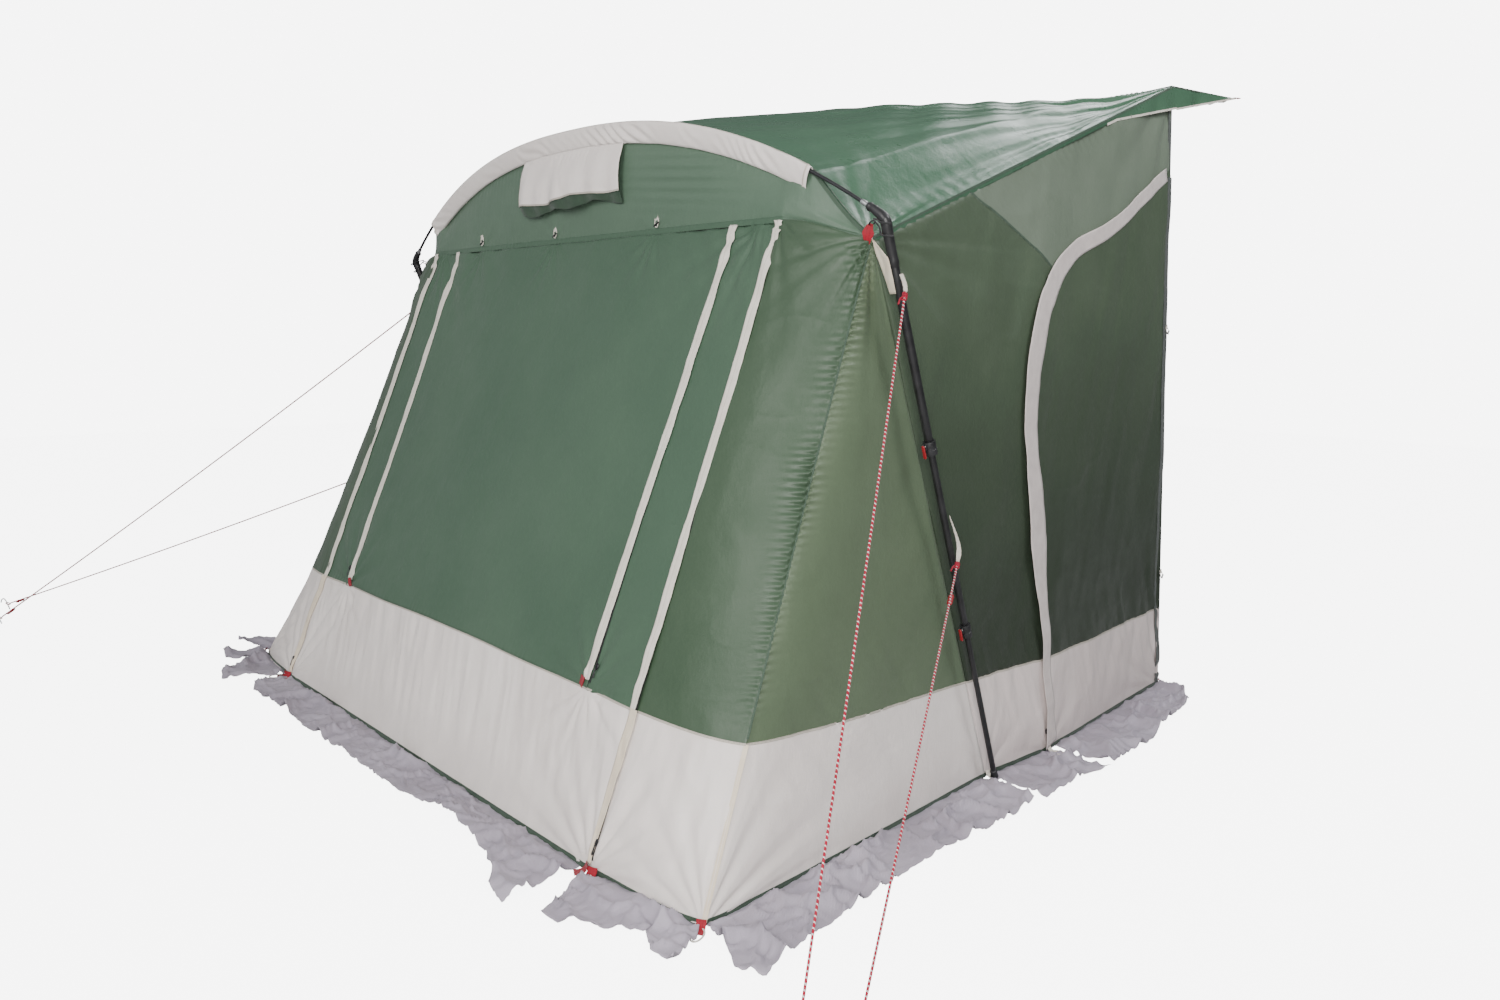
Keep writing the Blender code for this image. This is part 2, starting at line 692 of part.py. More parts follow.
def make_foot(side, label, length, materials, base):
    """A cup that closes the lowest tube."""
    distances = (length - 0.034, length - 0.0105, length - 0.0105, length - 0.003)
    path = [mirrored(leg_point(d), side) for d in distances]
    cup = LOWER_TUBE[0] + 0.0004
    builder = bmesh.new()
    _, outward, forward = leg_directions(side)
    rings = []
    for point, radius in (
        (path[0], cup),
        (path[0], cup + 0.0026),
        (path[3], cup + 0.0034),
    ):
        section = ring_section(14, radius, radius)
        ring = [builder.verts.new(point + outward * a + forward * b) for a, b in section]
        rings.append(ring)
    floor = [
        builder.verts.new(path[1] + outward * a + forward * b)
        for a, b in ring_section(14, cup, cup)
    ]
    rings.insert(0, floor)
    for low, high in zip(rings, rings[1:]):
        for i in range(14):
            j = (i + 1) % 14
            builder.faces.new((low[i], low[j], high[j], high[i]))
    builder.faces.new(rings[0])
    builder.faces.new(rings[-1])
    bmesh.ops.recalc_face_normals(builder, faces=builder.faces)
    mesh = bpy.data.meshes.new(f"leg_foot_{label}")
    builder.to_mesh(mesh)
    builder.free()
    add_object(f"leg_foot_{label}", mesh, materials["black_plastic"], path[0], base)


def make_clamp(side, label, distance, tube_radius, materials, base):
    """A collar round the end of a tube, with a lug in front that carries a flip lever."""
    down, outward, forward = leg_directions(side)
    centre = mirrored(leg_point(distance + 0.003), side)
    half_height = 0.021
    inner = tube_radius + 0.0004
    outer = tube_radius + 0.0060
    ends = [centre - down * half_height, centre + down * half_height]
    collar = pipe(
        f"leg_clamp_{label}", *ends, (outer, inner), materials["black_plastic"], base, ends[0]
    )
    lug_reach = outer + 0.0045
    lug_mid = (outer - 0.0020 + lug_reach) / 2
    lug = block_mesh(
        f"lug_{label}",
        centre + forward * lug_mid - down * 0.010,
        forward,
        outward,
        (lug_reach - lug_mid, 0.0065, 0.0090),
    )
    cutter = add_object(f"lug_{label}", lug, materials["black_plastic"], None, base)
    cutter.hide_render = True
    cutter.display_type = "WIRE"
    union = collar.modifiers.new("lug", "BOOLEAN")
    union.operation = "UNION"
    union.solver = "EXACT"
    union.object = cutter
    half_thickness = 0.0027
    lever_length = 0.040
    pivot = centre + forward * (lug_reach + 0.0035) - down * 0.014
    lever = block_mesh(
        f"clamp_lever_{label}",
        pivot + down * (lever_length / 2 - half_thickness),
        forward,
        outward,
        (half_thickness, 0.0065, lever_length / 2),
        0.0018,
    )
    add_object(f"clamp_lever_{label}", lever, materials["red_plastic"], pivot, base)


def make_upright(side, label, materials, base):
    foot, top = (mirrored(point, side) for point in (UPRIGHT_FOOT, UPRIGHT_TOP))
    share = UPRIGHT_JOINT_Z / top.z
    joint = foot.lerp(top, share)
    up = (top - foot).normalized()
    tube = materials["black_tube"]
    pipe(f"rear_upright_upper_{label}", joint, top, UPPER_TUBE, tube, base)
    pipe(f"rear_upright_lower_{label}", foot, joint + up * 0.12, MIDDLE_TUBE, tube, base, foot)
    # The twist lock has grip ribs: its outer section alternates between two radii.
    count = 24
    turn = 2 * math.pi / count
    radii = [0.0178 if i % 2 else 0.0168 for i in range(count)]
    ribbed = [(r * math.cos(i * turn), r * math.sin(i * turn)) for i, r in enumerate(radii)]
    hollow = ring_section(count, UPPER_TUBE[0] + 0.0005, UPPER_TUBE[0] + 0.0005)
    ends = [joint - up * 0.030, joint + up * 0.030]
    mesh = swept_mesh(
        f"rear_twist_lock_{label}", ends, Vector((1, 0, 0)), [ribbed] * 2, [hollow] * 2
    )
    add_object(f"rear_twist_lock_{label}", mesh, materials["black_plastic"], ends[0], base)


def make_cross_bar(materials, base):
    y = UPRIGHT_TOP.y
    ends = [Vector((x, y, CROSS_BAR_Z)) for x in (-CROSS_BAR_HALF_LENGTH, CROSS_BAR_HALF_LENGTH)]
    pipe("rear_cross_bar", *ends, MIDDLE_TUBE, materials["black_tube"], base)


# ---------------------------------------------------------------- zips, ropes, pegs
def zip_slider(name, place, up, outward, materials, base):
    """A slider body that narrows into its pull tab, standing just off the cloth."""
    across = up.cross(outward).normalized()
    outline = (
        (-0.0050, 0.010),
        (0.0050, 0.010),
        (0.0075, 0.004),
        (0.0045, -0.008),
        (0.0030, -0.012),
        (0.0042, -0.034),
        (-0.0042, -0.034),
        (-0.0030, -0.012),
        (-0.0045, -0.008),
        (-0.0075, 0.004),
    )
    builder = bmesh.new()
    near = [builder.verts.new(place + across * a + up * b) for a, b in outline]
    face = builder.faces.new(near)
    made = bmesh.ops.extrude_face_region(builder, geom=[face])
    moved = [item for item in made["geom"] if isinstance(item, bmesh.types.BMVert)]
    bmesh.ops.translate(builder, verts=moved, vec=outward * 0.0045)
    bmesh.ops.recalc_face_normals(builder, faces=builder.faces)
    mesh = bpy.data.meshes.new(name)
    builder.to_mesh(mesh)
    builder.free()
    add_object(name, mesh, materials["zip_metal"], place, base)


def make_zip_sliders(side, label, materials, base):
    front_up = (front_point(0, 1) - front_point(0, 0)).normalized()
    front_out = Vector((0.0, -front_up.z, front_up.y))
    stand_off = FABRIC / 2 + 0.0012
    window_z = WINDOW_SILL_Z + 0.030
    window_x = WINDOW_HALF_WIDTH + 0.006 + 0.012
    place = front_point(side * window_x, window_z, stand_off)
    zip_slider(f"window_zip_slider_{label}", place, front_up, front_out, materials, base)
    door_z = 0.075
    low = front_point(outer_zip_x(0.0) + 0.013, 0.0)
    high = front_point(outer_zip_x(SEAM_Z) + 0.013, SEAM_Z)
    along = (mirrored(high, side) - mirrored(low, side)).normalized()
    place = mirrored(low, side) + along * (door_z / along.z) + front_out * (stand_off + 0.004)
    zip_slider(f"door_zip_slider_{label}", place, along, front_out, materials, base)
    wall_low = side_wall_point(SIDE_ZIP_YZ[0][0] - 0.020, 0.0)
    wall_high = side_wall_point(SIDE_ZIP_YZ[3][0] - 0.020, SIDE_ZIP_YZ[3][1])
    along = (mirrored(wall_high, side) - mirrored(wall_low, side)).normalized()
    wall_out = Vector((side, -SIDE_PLANE_Y_SLOPE, 0.0)).normalized()
    wall_out = (wall_out - along * wall_out.dot(along)).normalized()
    place = mirrored(wall_low, side) + along * 0.075 + wall_out * 0.012
    zip_slider(f"side_zip_slider_{label}", place, along, wall_out, materials, base)


def rope_ends(name):
    """From beside the leg to just above the peg's notch."""
    share, ground = ROPES[name]
    side = 1 if "right" in name else -1
    _, outward, _ = leg_directions(side)
    start = mirrored(leg_point(share * leg_length()), side) + outward * 0.021
    return start, ground + Vector((0.0, 0.0, 0.030))


def make_rope(name, materials, base):
    start, end = rope_ends(name)
    run = end - start
    count = 20
    curve = bpy.data.curves.new(name, "CURVE")
    curve.dimensions = "3D"
    curve.bevel_depth = ROPE_RADIUS
    curve.bevel_resolution = 2
    curve.use_fill_caps = True
    spline = curve.splines.new("POLY")
    spline.points.add(count - 1)
    stop = 1 - 0.010 / run.length
    for k in range(count):
        share = stop * k / (count - 1)
        sag = 4 * share * (1 - share) * ROPE_SAG_SHARE * run.length
        spline.points[k].co = (*(start + run * share - Vector((0, 0, sag))), 1.0)
    rope = bpy.data.objects.new(name, curve)
    bpy.context.scene.collection.objects.link(rope)
    curve.materials.append(materials["rope_red"])
    rope.parent = base


def make_peg(rope_name, materials, base):
    """The part of a hooked ground peg that stands above the ground."""
    start, end = rope_ends(rope_name)
    away = Vector((end.x - start.x, end.y - start.y, 0.0)).normalized()
    foot = Vector((end.x, end.y, 0.0)) - away * 0.004
    hook = (
        foot + Vector((0.0, 0.0, 0.0012)),
        foot + away * 0.010 + Vector((0, 0, 0.024)),
        foot + away * 0.020 + Vector((0, 0, 0.046)),
        foot + away * 0.031 + Vector((0, 0, 0.054)),
        foot + away * 0.042 + Vector((0, 0, 0.047)),
        foot + away * 0.045 + Vector((0, 0, 0.034)),
    )
    path = smooth_line(list(hook), 14)
    section = ring_section(8, 0.0030, 0.0030)
    name = rope_name.replace("guy_rope", "guy_peg")
    reference = Vector((-away.y, away.x, 0.0))
    mesh = swept_mesh(name, path, reference, [section] * len(path))
    add_object(name, mesh, materials["peg_steel"], None, base)


def build():
    clear_scene()
    materials = make_materials()
    base = bpy.data.objects.new("awning", None)
    bpy.context.scene.collection.objects.link(base)
    base.location = (0.0, FOOTPRINT_SHIFT_Y, 0.0)
    make_roof(materials, base)
    make_arch_sleeve(materials, base)
    make_front_upper_panel(materials, base)
    make_front_door(materials, base)
    make_window(materials, base)
    make_vent_hood(materials, base)
    make_skirts(materials, base)
    make_arch_pole(materials, base)
    make_cross_bar(materials, base)
    for side, label in ((1, "right"), (-1, "left")):
        make_front_corner(side, label, materials, base)
        make_side_wall(side, label, materials, base)
        make_side_door(side, label, materials, base)
        make_elbow(side, label, materials, base)
        make_leg(side, label, materials, base)
        make_upright(side, label, materials, base)
        make_zip_sliders(side, label, materials, base)
    for name in ROPES:
        make_rope(name, materials, base)
        make_peg(name, materials, base)
    bpy.context.view_layer.update()


build()
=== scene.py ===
"""Looks of the tailgate awning tent: cloth, webbing, ropes, poles, light and camera.

Lengths are in metres. Shapes are given from the line of the two leg feet, and SHIFT moves
them to the frame's origin. Right-hand shapes are made first and place() mirrors them for
the left. A wall is a smooth surface; its folds stand along its normal.
"""

import math

import bmesh
import bpy
import numpy as np
from mathutils import Matrix, Vector


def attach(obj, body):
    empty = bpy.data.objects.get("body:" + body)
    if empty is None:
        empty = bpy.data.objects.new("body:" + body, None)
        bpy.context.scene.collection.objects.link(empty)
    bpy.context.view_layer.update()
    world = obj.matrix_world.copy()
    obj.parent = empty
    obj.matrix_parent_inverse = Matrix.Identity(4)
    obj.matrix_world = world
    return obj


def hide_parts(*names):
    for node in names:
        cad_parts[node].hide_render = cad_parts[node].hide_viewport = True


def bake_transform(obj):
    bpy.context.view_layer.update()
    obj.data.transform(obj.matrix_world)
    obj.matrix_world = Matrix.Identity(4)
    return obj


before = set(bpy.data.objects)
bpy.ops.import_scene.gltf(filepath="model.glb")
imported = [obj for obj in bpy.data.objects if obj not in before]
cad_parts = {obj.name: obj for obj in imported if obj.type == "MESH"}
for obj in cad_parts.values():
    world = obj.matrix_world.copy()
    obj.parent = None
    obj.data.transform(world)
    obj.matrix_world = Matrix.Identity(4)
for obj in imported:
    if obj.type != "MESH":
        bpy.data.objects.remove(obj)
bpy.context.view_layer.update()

# ---------------------------------------------------------------- driving dimensions
SHIFT = np.array((0.0, -0.063, 0.0))
FRONT_HEM_Y, SEAM_Y, SEAM_Z = -1.363, -0.682, 1.722
DOOR_HALF_HEM, DOOR_HALF_SEAM = 1.136, 1.100
COVER_HALF_WIDTH, COVER_TOP_Z = 0.890, 1.713
HEM_Z = 0.006

HEM_CORNER = np.array((1.565, -1.310, 0.0))
BAND_CORNER = np.array((1.483, -1.111, 0.388))
TIE_POINT = np.array((1.371, -0.593, 1.662))
HEM_AT_LEG = np.array((1.345, 0.000, 0.0))
HEM_AT_SIDE_ZIP = np.array((1.316, 0.364, 0.0))
HEM_REAR = np.array((1.107, 1.370, 0.0))
ROOF_PEAK = np.array((1.049, 1.334, 2.351))
FLAP_LENGTH, FLAP_RISE = 0.432, 0.009
VALANCE_DROP, VALANCE_START = 0.085, 0.754

SIDE_ZIP_YZ = (
    (0.364, 0.000), (0.300, 0.400), (0.235, 0.780), (0.172, 1.130), (0.205, 1.380), (0.310, 1.550),
    (0.500, 1.685), (0.830, 1.800), (1.322, 2.036),
)
SIDE_Y_SLOPE, SIDE_Z_SLOPE = -0.2078, -0.0289

# Height of the seam between the green cloth and the beige band below it.
BAND_Z = {"middle": 0.412, "zip": 0.404, "corner": 0.388, "leg": 0.336, "door": 0.330, "rear": 0.312}

ARCH_HALF_SPAN, ARCH_BASE_Z, ARCH_RISE, ARCH_POWER = 1.451, 1.710, 0.370, 2.38
ARCH_BASE_Y, ARCH_LEAN = -0.627, -0.197
SLEEVE_END_X, SLEEVE_OVER, SLEEVE_UNDER = 1.190, 0.012, 0.056
ELBOW_MOUTH_X = 1.395
ROD_RADIUS, ROD_HALF_SPAN = 0.0055, 1.417

LEG_TOP = np.array((ARCH_HALF_SPAN, ARCH_BASE_Y, ARCH_BASE_Z))
LEG_FOOT = np.array((1.382, 0.0, 0.006))
LEG_LENGTH = float(np.linalg.norm(LEG_FOOT - LEG_TOP))
UPPER_CLAMP_SHARE, LOWER_CLAMP_SHARE = 0.363, 0.695
TUBE_RADII = (0.0125, 0.0106, 0.0088)
TUBE_OVERLAP = 0.085
UPRIGHT_FOOT, UPRIGHT_TOP = np.array((1.060, 1.345, 0.001)), np.array((1.006, 1.312, 2.318))
UPRIGHT_JOINT_Z = 1.05
CROSS_BAR_Z, CROSS_BAR_HALF = 2.285, 0.989

HOOD_HALF_WIDTH, HOOD_BOTTOM_Z, HOOD_STAND_OFF = 0.325, 1.858, 0.050

ROPE_DIAMETER = 0.0060
ROPE_SAG_SHARE = 0.006
ROPE_STAND_OFF, PEG_EYE_Z, ROPE_END_GAP = 0.021, 0.030, 0.010
# Length of one turn of the braid, its points round the cord and along a turn, and its red part.
BRAID_TURN, BRAID_SIDES, BRAID_STEPS, RED_SHARE = 0.0120, 10, 8, 0.74
KNOT_TURNS, KNOT_POINTS, KNOT_RADIUS, KNOT_HALF_LENGTH = 3.0, 54, 0.0055, 0.010
ROPES = {
    "guy_rope_right_upper": (0.112, (2.097, -1.483, 0.0)),
    "guy_rope_right_lower": (0.565, (2.170, -1.393, 0.0)),
    "guy_rope_left_upper": (0.098, (-2.880, -2.130, 0.0)),
    "guy_rope_left_lower": (0.455, (-3.200, -2.050, 0.0)),
}
# How far along each rope its tensioner sits.
RUNNER_SHARES = dict.fromkeys(ROPES, 0.975)
RUNNER_SHARES["guy_rope_right_lower"] = 0.105

SIDES = ((1, "right"), (-1, "left"))
FRONT_FACING, SIDE_FACING, UPWARD = (0, -0.93, 0.37), (1, 0.2, 0), (0, 0, 1)

CLOTH_THICKNESS, HEAVY_THICKNESS, NET_THICKNESS = 0.0008, 0.0009, 0.0005
# Width and thickness of the sewn tapes.
HEM_TAPE, SEAM_TAPE = (0.0165, 0.0022), (0.0075, 0.0012)

# The camera's place, its turn, tilt and roll in degrees, and its lens in millimetres.
CAMERA_PLACE, CAMERA_ANGLES = (3.720, -3.0146, 1.4128), (50.447, -8.0, 0.428)
CAMERA_LENS, CAMERA_SENSOR = 28.94, 36.0
# Brightness of the white ground and the white floor as the camera sees them.
BACKDROP_STRENGTH, FLOOR_GLOW = 7.0, 6.6


# ---------------------------------------------------------------- arrays and noise
def vec(x, y, z):
    return np.stack(np.broadcast_arrays(x, y, z), axis=-1).astype(float)


def unit(a):
    return a / np.maximum(np.linalg.norm(a, axis=-1, keepdims=True), 1e-9)


def lerp(a, b, t):
    return a + (b - a) * t


def share(t, low=0.0, high=1.0):
    return np.clip((t - low) / (high - low), 0.0, 1.0)


def smooth(t, low=0.0, high=1.0):
    t = share(t, low, high)
    return t * t * (3 - 2 * t)


def dot(a, b):
    return (a * b).sum(-1)


LATTICE_SIZE = 48
LATTICE = np.random.default_rng(11).uniform(-1.0, 1.0, (LATTICE_SIZE, LATTICE_SIZE, LATTICE_SIZE))


def noise(points, size, seed=0.0):
    """Smooth noise from -1 to 1 whose features are about that size."""
    spot = np.asarray(points, float) / size + seed * 5.37 + 17.0
    cell = np.floor(spot).astype(int)
    part = spot - cell
    part = part * part * (3 - 2 * part)
    total = 0.0
    for i in (0, 1):
        for j in (0, 1):
            for k in (0, 1):
                weight = np.abs(1 - i - part[..., 0])
                weight = weight * np.abs(1 - j - part[..., 1]) * np.abs(1 - k - part[..., 2])
                corner = (cell + (i, j, k)) % LATTICE_SIZE
                total += weight * LATTICE[corner[..., 0], corner[..., 1], corner[..., 2]]
    return total


def wobble(along, size, seed=0.0):
    """Noise along one length."""
    return noise(vec(along, seed * 3.1, 0.37), size, seed)


def curve_through(points, count):
    """count points on a smooth curve through the given ones."""
    points = np.asarray(points, float)
    ends = np.vstack([2 * points[0] - points[1], points, 2 * points[-1] - points[-2]])
    at = np.linspace(0, len(points) - 1, count)
    i = np.minimum(at.astype(int), len(points) - 2)
    t = (at - i)[:, None]
    p0, p1, p2, p3 = (ends[i + k] for k in range(4))
    return (
        2 * p1 + (p2 - p0) * t + (2 * p0 - 5 * p1 + 4 * p2 - p3) * t**2 + (3 * p1 - p0 - 3 * p2 + p3) * t**3
    ) / 2


def even(points, count):
    """The same line with its points an equal distance apart."""
    at = lengths_along(points)
    wanted = np.linspace(0, at[-1], count)
    return np.stack([np.interp(wanted, at, points[:, k]) for k in range(3)], axis=1)


def lengths_along(points):
    """How far each point is along its line."""
    return np.concatenate([[0.0], np.cumsum(np.linalg.norm(np.diff(points, axis=0), axis=1))])


def line_length(points):
    return float(np.linalg.norm(np.diff(points, axis=0), axis=1).sum())


def crowded(count, low_end=0.0, high_end=0.0):
    """count shares from 0 to 1, packed closer at either end by the given weight."""
    t = np.linspace(0, 1, count)
    step = 1 / (1 + 9 * low_end * np.exp(-t / 0.10) + 9 * high_end * np.exp(-(1 - t) / 0.10))
    at = np.concatenate([[0.0], np.cumsum((step[1:] + step[:-1]) / 2)])
    return at / at[-1]


# ---------------------------------------------------------------- shape of the tent
def front(x, z):
    return vec(x, lerp(FRONT_HEM_Y, SEAM_Y, z / SEAM_Z), z)


def outer_zip_x(z):
    return lerp(DOOR_HALF_HEM, DOOR_HALF_SEAM, z / SEAM_Z)


def corner_seam(z):
    z1, z2 = BAND_CORNER[2], TIE_POINT[2]
    low_rate = (BAND_CORNER - HEM_CORNER) / z1
    high_rate = (TIE_POINT - BAND_CORNER) / (z2 - z1)
    bend = (high_rate - low_rate) / z2
    z = np.asarray(z, float)[..., None]
    point = HEM_CORNER + low_rate * z + bend * (z * (z - z1))
    point[..., 2] = z[..., 0]
    return point


def fold_line(z):
    """Where the side wall turns at the leg, from the hem up to the tie point."""
    return lerp(HEM_AT_LEG, TIE_POINT, np.asarray(z, float)[..., None] / TIE_POINT[2])


def side_plane(y, z):
    x = HEM_AT_SIDE_ZIP[0] + SIDE_Y_SLOPE * (y - HEM_AT_SIDE_ZIP[1]) + SIDE_Z_SLOPE * z
    return vec(x, y, z)


def rear_edge(z):
    return lerp(HEM_REAR, ROOF_PEAK, np.asarray(z, float)[..., None] / ROOF_PEAK[2])


def arch_point(x, drop=0.0):
    z = ARCH_BASE_Z + ARCH_RISE * (1 - (np.abs(x) / ARCH_HALF_SPAN) ** ARCH_POWER) - drop
    return vec(x, ARCH_BASE_Y + ARCH_LEAN * (z - ARCH_BASE_Z), z)


def upper_seam(x):
    x = np.asarray(x, float)
    reach = share(np.abs(x), DOOR_HALF_SEAM, TIE_POINT[0])[..., None]
    start = vec(np.minimum(np.abs(x), DOOR_HALF_SEAM), SEAM_Y, SEAM_Z)
    point = lerp(start, TIE_POINT, reach)
    point[..., 0] *= np.where(x < 0, -1.0, 1.0)
    return point


def roof_front_edge(x):
    """Over the sleeve along the arch, then down the free edge to the tie point."""
    x = np.asarray(x, float)
    side = np.where(x < 0, -1.0, 1.0)
    inside = np.minimum(np.abs(x), SLEEVE_END_X)
    start = arch_point(inside) + np.array((0.0, 0.013, -0.001))
    reach = share(np.abs(x), SLEEVE_END_X, TIE_POINT[0])[..., None]
    droop = np.sin(math.pi * reach) * np.array((0.0, 0.012, -0.022))
    point = lerp(start, TIE_POINT, reach) + droop
    point[..., 0] *= side
    return point


def leg_point(distance):
    return LEG_TOP + unit(LEG_FOOT - LEG_TOP) * np.asarray(distance, float)[..., None]


def mirrored(points, side):
    return np.asarray(points, float) * (side, 1, 1)


def leg_directions(side):
    """Down the leg, outward from the tent, and forward across the leg."""
    down = unit(mirrored(LEG_FOOT, side) - mirrored(LEG_TOP, side))
    sideways = np.array((side, 0.0, 0.0))
    outward = unit(sideways - down * dot(sideways, down))
    return down, outward, np.cross(down, outward) * side


ZIP_LINE = curve_through([side_plane(y, z) for y, z in SIDE_ZIP_YZ], 400)


def side_zip(z):
    """The side door's zip at a height; it climbs all the way."""
    return np.stack([np.interp(z, ZIP_LINE[:, 2], ZIP_LINE[:, k]) for k in range(3)], axis=-1)


# ---------------------------------------------------------------- folds
def fan(p, apex, facing, reach, count, height, seed=0.0, start=0.05):
    """Folds that run out from a point where the cloth is pulled."""
    facing = unit(np.asarray(facing, float))
    first = unit(np.cross(facing, (0.0, 0.0, 1.0)))
    second = np.cross(facing, first)
    away = p - apex
    radius = np.linalg.norm(away, axis=-1)
    angle = np.arctan2(dot(away, second), dot(away, first))
    bend = 0.5 * wobble(angle, 0.35, seed) + 0.3 * noise(p, 0.45, seed)
    wave = np.sin(angle * count + 3.0 * bend)
    crease = np.sign(wave) * np.abs(wave) ** 0.8 - 0.4 * np.abs(wave) ** 4
    fade = 0.55 + 0.45 * wobble(angle, 0.22, seed + 4.0)
    return height * fade * crease * smooth(radius, 0.0, start) * np.exp(-((radius / reach) ** 1.5))


def gathers(along, away, spacing, height, reach, seed=0.0):
    """Small puckers square to a seam, uneven along it."""
    phase = 2 * math.pi * along / spacing + 2.6 * wobble(along, spacing * 3.1, seed)
    patch = 0.45 + 0.75 * wobble(along, spacing * 7.0, seed + 2.0)
    return height * patch * np.sin(phase) * np.exp(-np.abs(away) / reach)


def billow(p, size, height, seed=0.0):
    """Soft unevenness of slack cloth."""
    return height * (noise(p, size, seed) + 0.4 * noise(p, size * 0.41, seed + 1.0))


def streaks(across, along, spacing, height, seed=0.0):
    """Uneven long folds; across is measured over them and along down them."""
    spot = vec(across / spacing, along / (spacing * 6), 0.0)
    return height * (noise(spot, 1.0, seed) + 0.45 * noise(spot * 2.3, 1.0, seed + 1.0))


def creases(p, size, height, seed=0.0):
    """Sharp fold marks, as cloth keeps from its bag."""
    first = 1 - np.abs(noise(p, size, seed)) * 3.2
    second = 1 - np.abs(noise(p, size * 0.47, seed + 3.0)) * 3.2
    return height * (np.clip(first, 0, 1) ** 2 + 0.55 * np.clip(second, 0, 1) ** 2)


def pleats(across, along, spacing, height, seed=0.0):
    """Long folds side by side; across is measured over them and along down them."""
    phase = 2 * math.pi * across / spacing + 2.2 * noise(vec(across, along * 0.25, 0.0), 0.30, seed)
    strength = 0.5 + 0.6 * noise(vec(across * 0.6, along * 0.4, 1.7), 0.25, seed + 5.0)
    return height * np.clip(strength, 0, None) * np.sin(phase)


# ---------------------------------------------------------------- making pieces
class Wall:
    """A cloth surface over two numbers a and b, with folds along its normal."""

    def __init__(self, base, folds):
        self.base = base
        self.folds = folds

    def normal(self, a, b):
        step = 0.004
        over = self.base(a + step, b) - self.base(a - step, b)
        up = self.base(a, b + step) - self.base(a, b - step)
        return unit(np.cross(over, up))

    def at(self, a, b, lift=0.0):
        a, b = np.broadcast_arrays(np.asarray(a, float), np.asarray(b, float))
        point = self.base(a, b)
        raised = self.folds(point, a, b) + lift
        return point + self.normal(a, b) * raised[..., None]


def place(points, side=1):
    return mirrored(points, side) + SHIFT


def finish_piece(piece, body, slot=None, nodes=()):
    """body is a body's name, or two names and two points, in which case the piece is only baked in place and
    attached to no body.
    """
    if isinstance(body, tuple):
        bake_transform(piece)
    else:
        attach(piece, body)
    if nodes:
        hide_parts(*nodes)
    return piece


def new_mesh(name, verts, faces, material, uvs=None, smooth_angle=None):
    mesh = bpy.data.meshes.new(name)
    mesh.from_pydata(np.asarray(verts, float).tolist(), [], faces)
    mesh.shade_smooth()
    if smooth_angle is not None:
        mesh.set_sharp_from_angle(angle=math.radians(smooth_angle))
    if uvs is not None:
        corners = np.zeros(len(mesh.loops), np.int32)
        mesh.loops.foreach_get("vertex_index", corners)
        layer = mesh.uv_layers.new(name="cloth")
        layer.data.foreach_set("uv", np.asarray(uvs, np.float32)[corners].ravel())
    piece = bpy.data.objects.new(name, mesh)
    bpy.context.scene.collection.objects.link(piece)
    for one in material if isinstance(material, tuple) else (material,):
        mesh.materials.append(MATERIALS[one])
    return piece


def grid_faces(rows, columns, closed=False):
    at = np.arange(rows * columns).reshape(rows, columns)
    right = np.roll(at, -1, axis=1) if closed else at[:, 1:]
    left = at if closed else at[:, :-1]
    quads = np.stack([left[:-1], right[:-1], right[1:], left[1:]], axis=-1)
    return quads.reshape(-1, 4).tolist()


def grid_lengths(grid):
    """How far each point is along its row and up its column."""
    over = np.linalg.norm(np.diff(grid, axis=1), axis=-1)
    up = np.linalg.norm(np.diff(grid, axis=0), axis=-1)
    over = np.concatenate([np.zeros((len(grid), 1)), np.cumsum(over, axis=1)], axis=1)
    up = np.concatenate([np.zeros((1, grid.shape[1])), np.cumsum(up, axis=0)], axis=0)
    return over, up


def cloth_piece(name, grid, material, body, side=1, slot=None, nodes=(), thickness=CLOTH_THICKNESS):
    """A sheet from rows of points; the outer face looks along the rows crossed with up."""
    over, up = grid_lengths(grid)
    if side < 0:
        grid, over, up = grid[:, ::-1], over[:, ::-1], up[:, ::-1]
    uvs = np.stack([over, up], axis=-1).reshape(-1, 2)
    verts = place(grid.reshape(-1, 3), side)
    piece = new_mesh(name, verts, grid_faces(*grid.shape[:2]), material, uvs)
    solid = piece.modifiers.new("cloth thickness", "SOLIDIFY")
    solid.thickness = thickness
    solid.offset = -1.0
    return finish_piece(piece, body, slot, nodes)


def face_outward(data):
    """Turns the faces of a closed mesh outward."""
    mesh = bmesh.new()
    mesh.from_mesh(data)
    bmesh.ops.recalc_face_normals(mesh, faces=mesh.faces)
    mesh.to_mesh(data)
    mesh.free()


def path_frames(path, reference):
    along = unit(np.gradient(path, axis=0))
    reference = np.broadcast_to(np.asarray(reference, float), path.shape)
    first = unit(reference - along * dot(along, reference)[:, None])
    return first, np.cross(along, first)


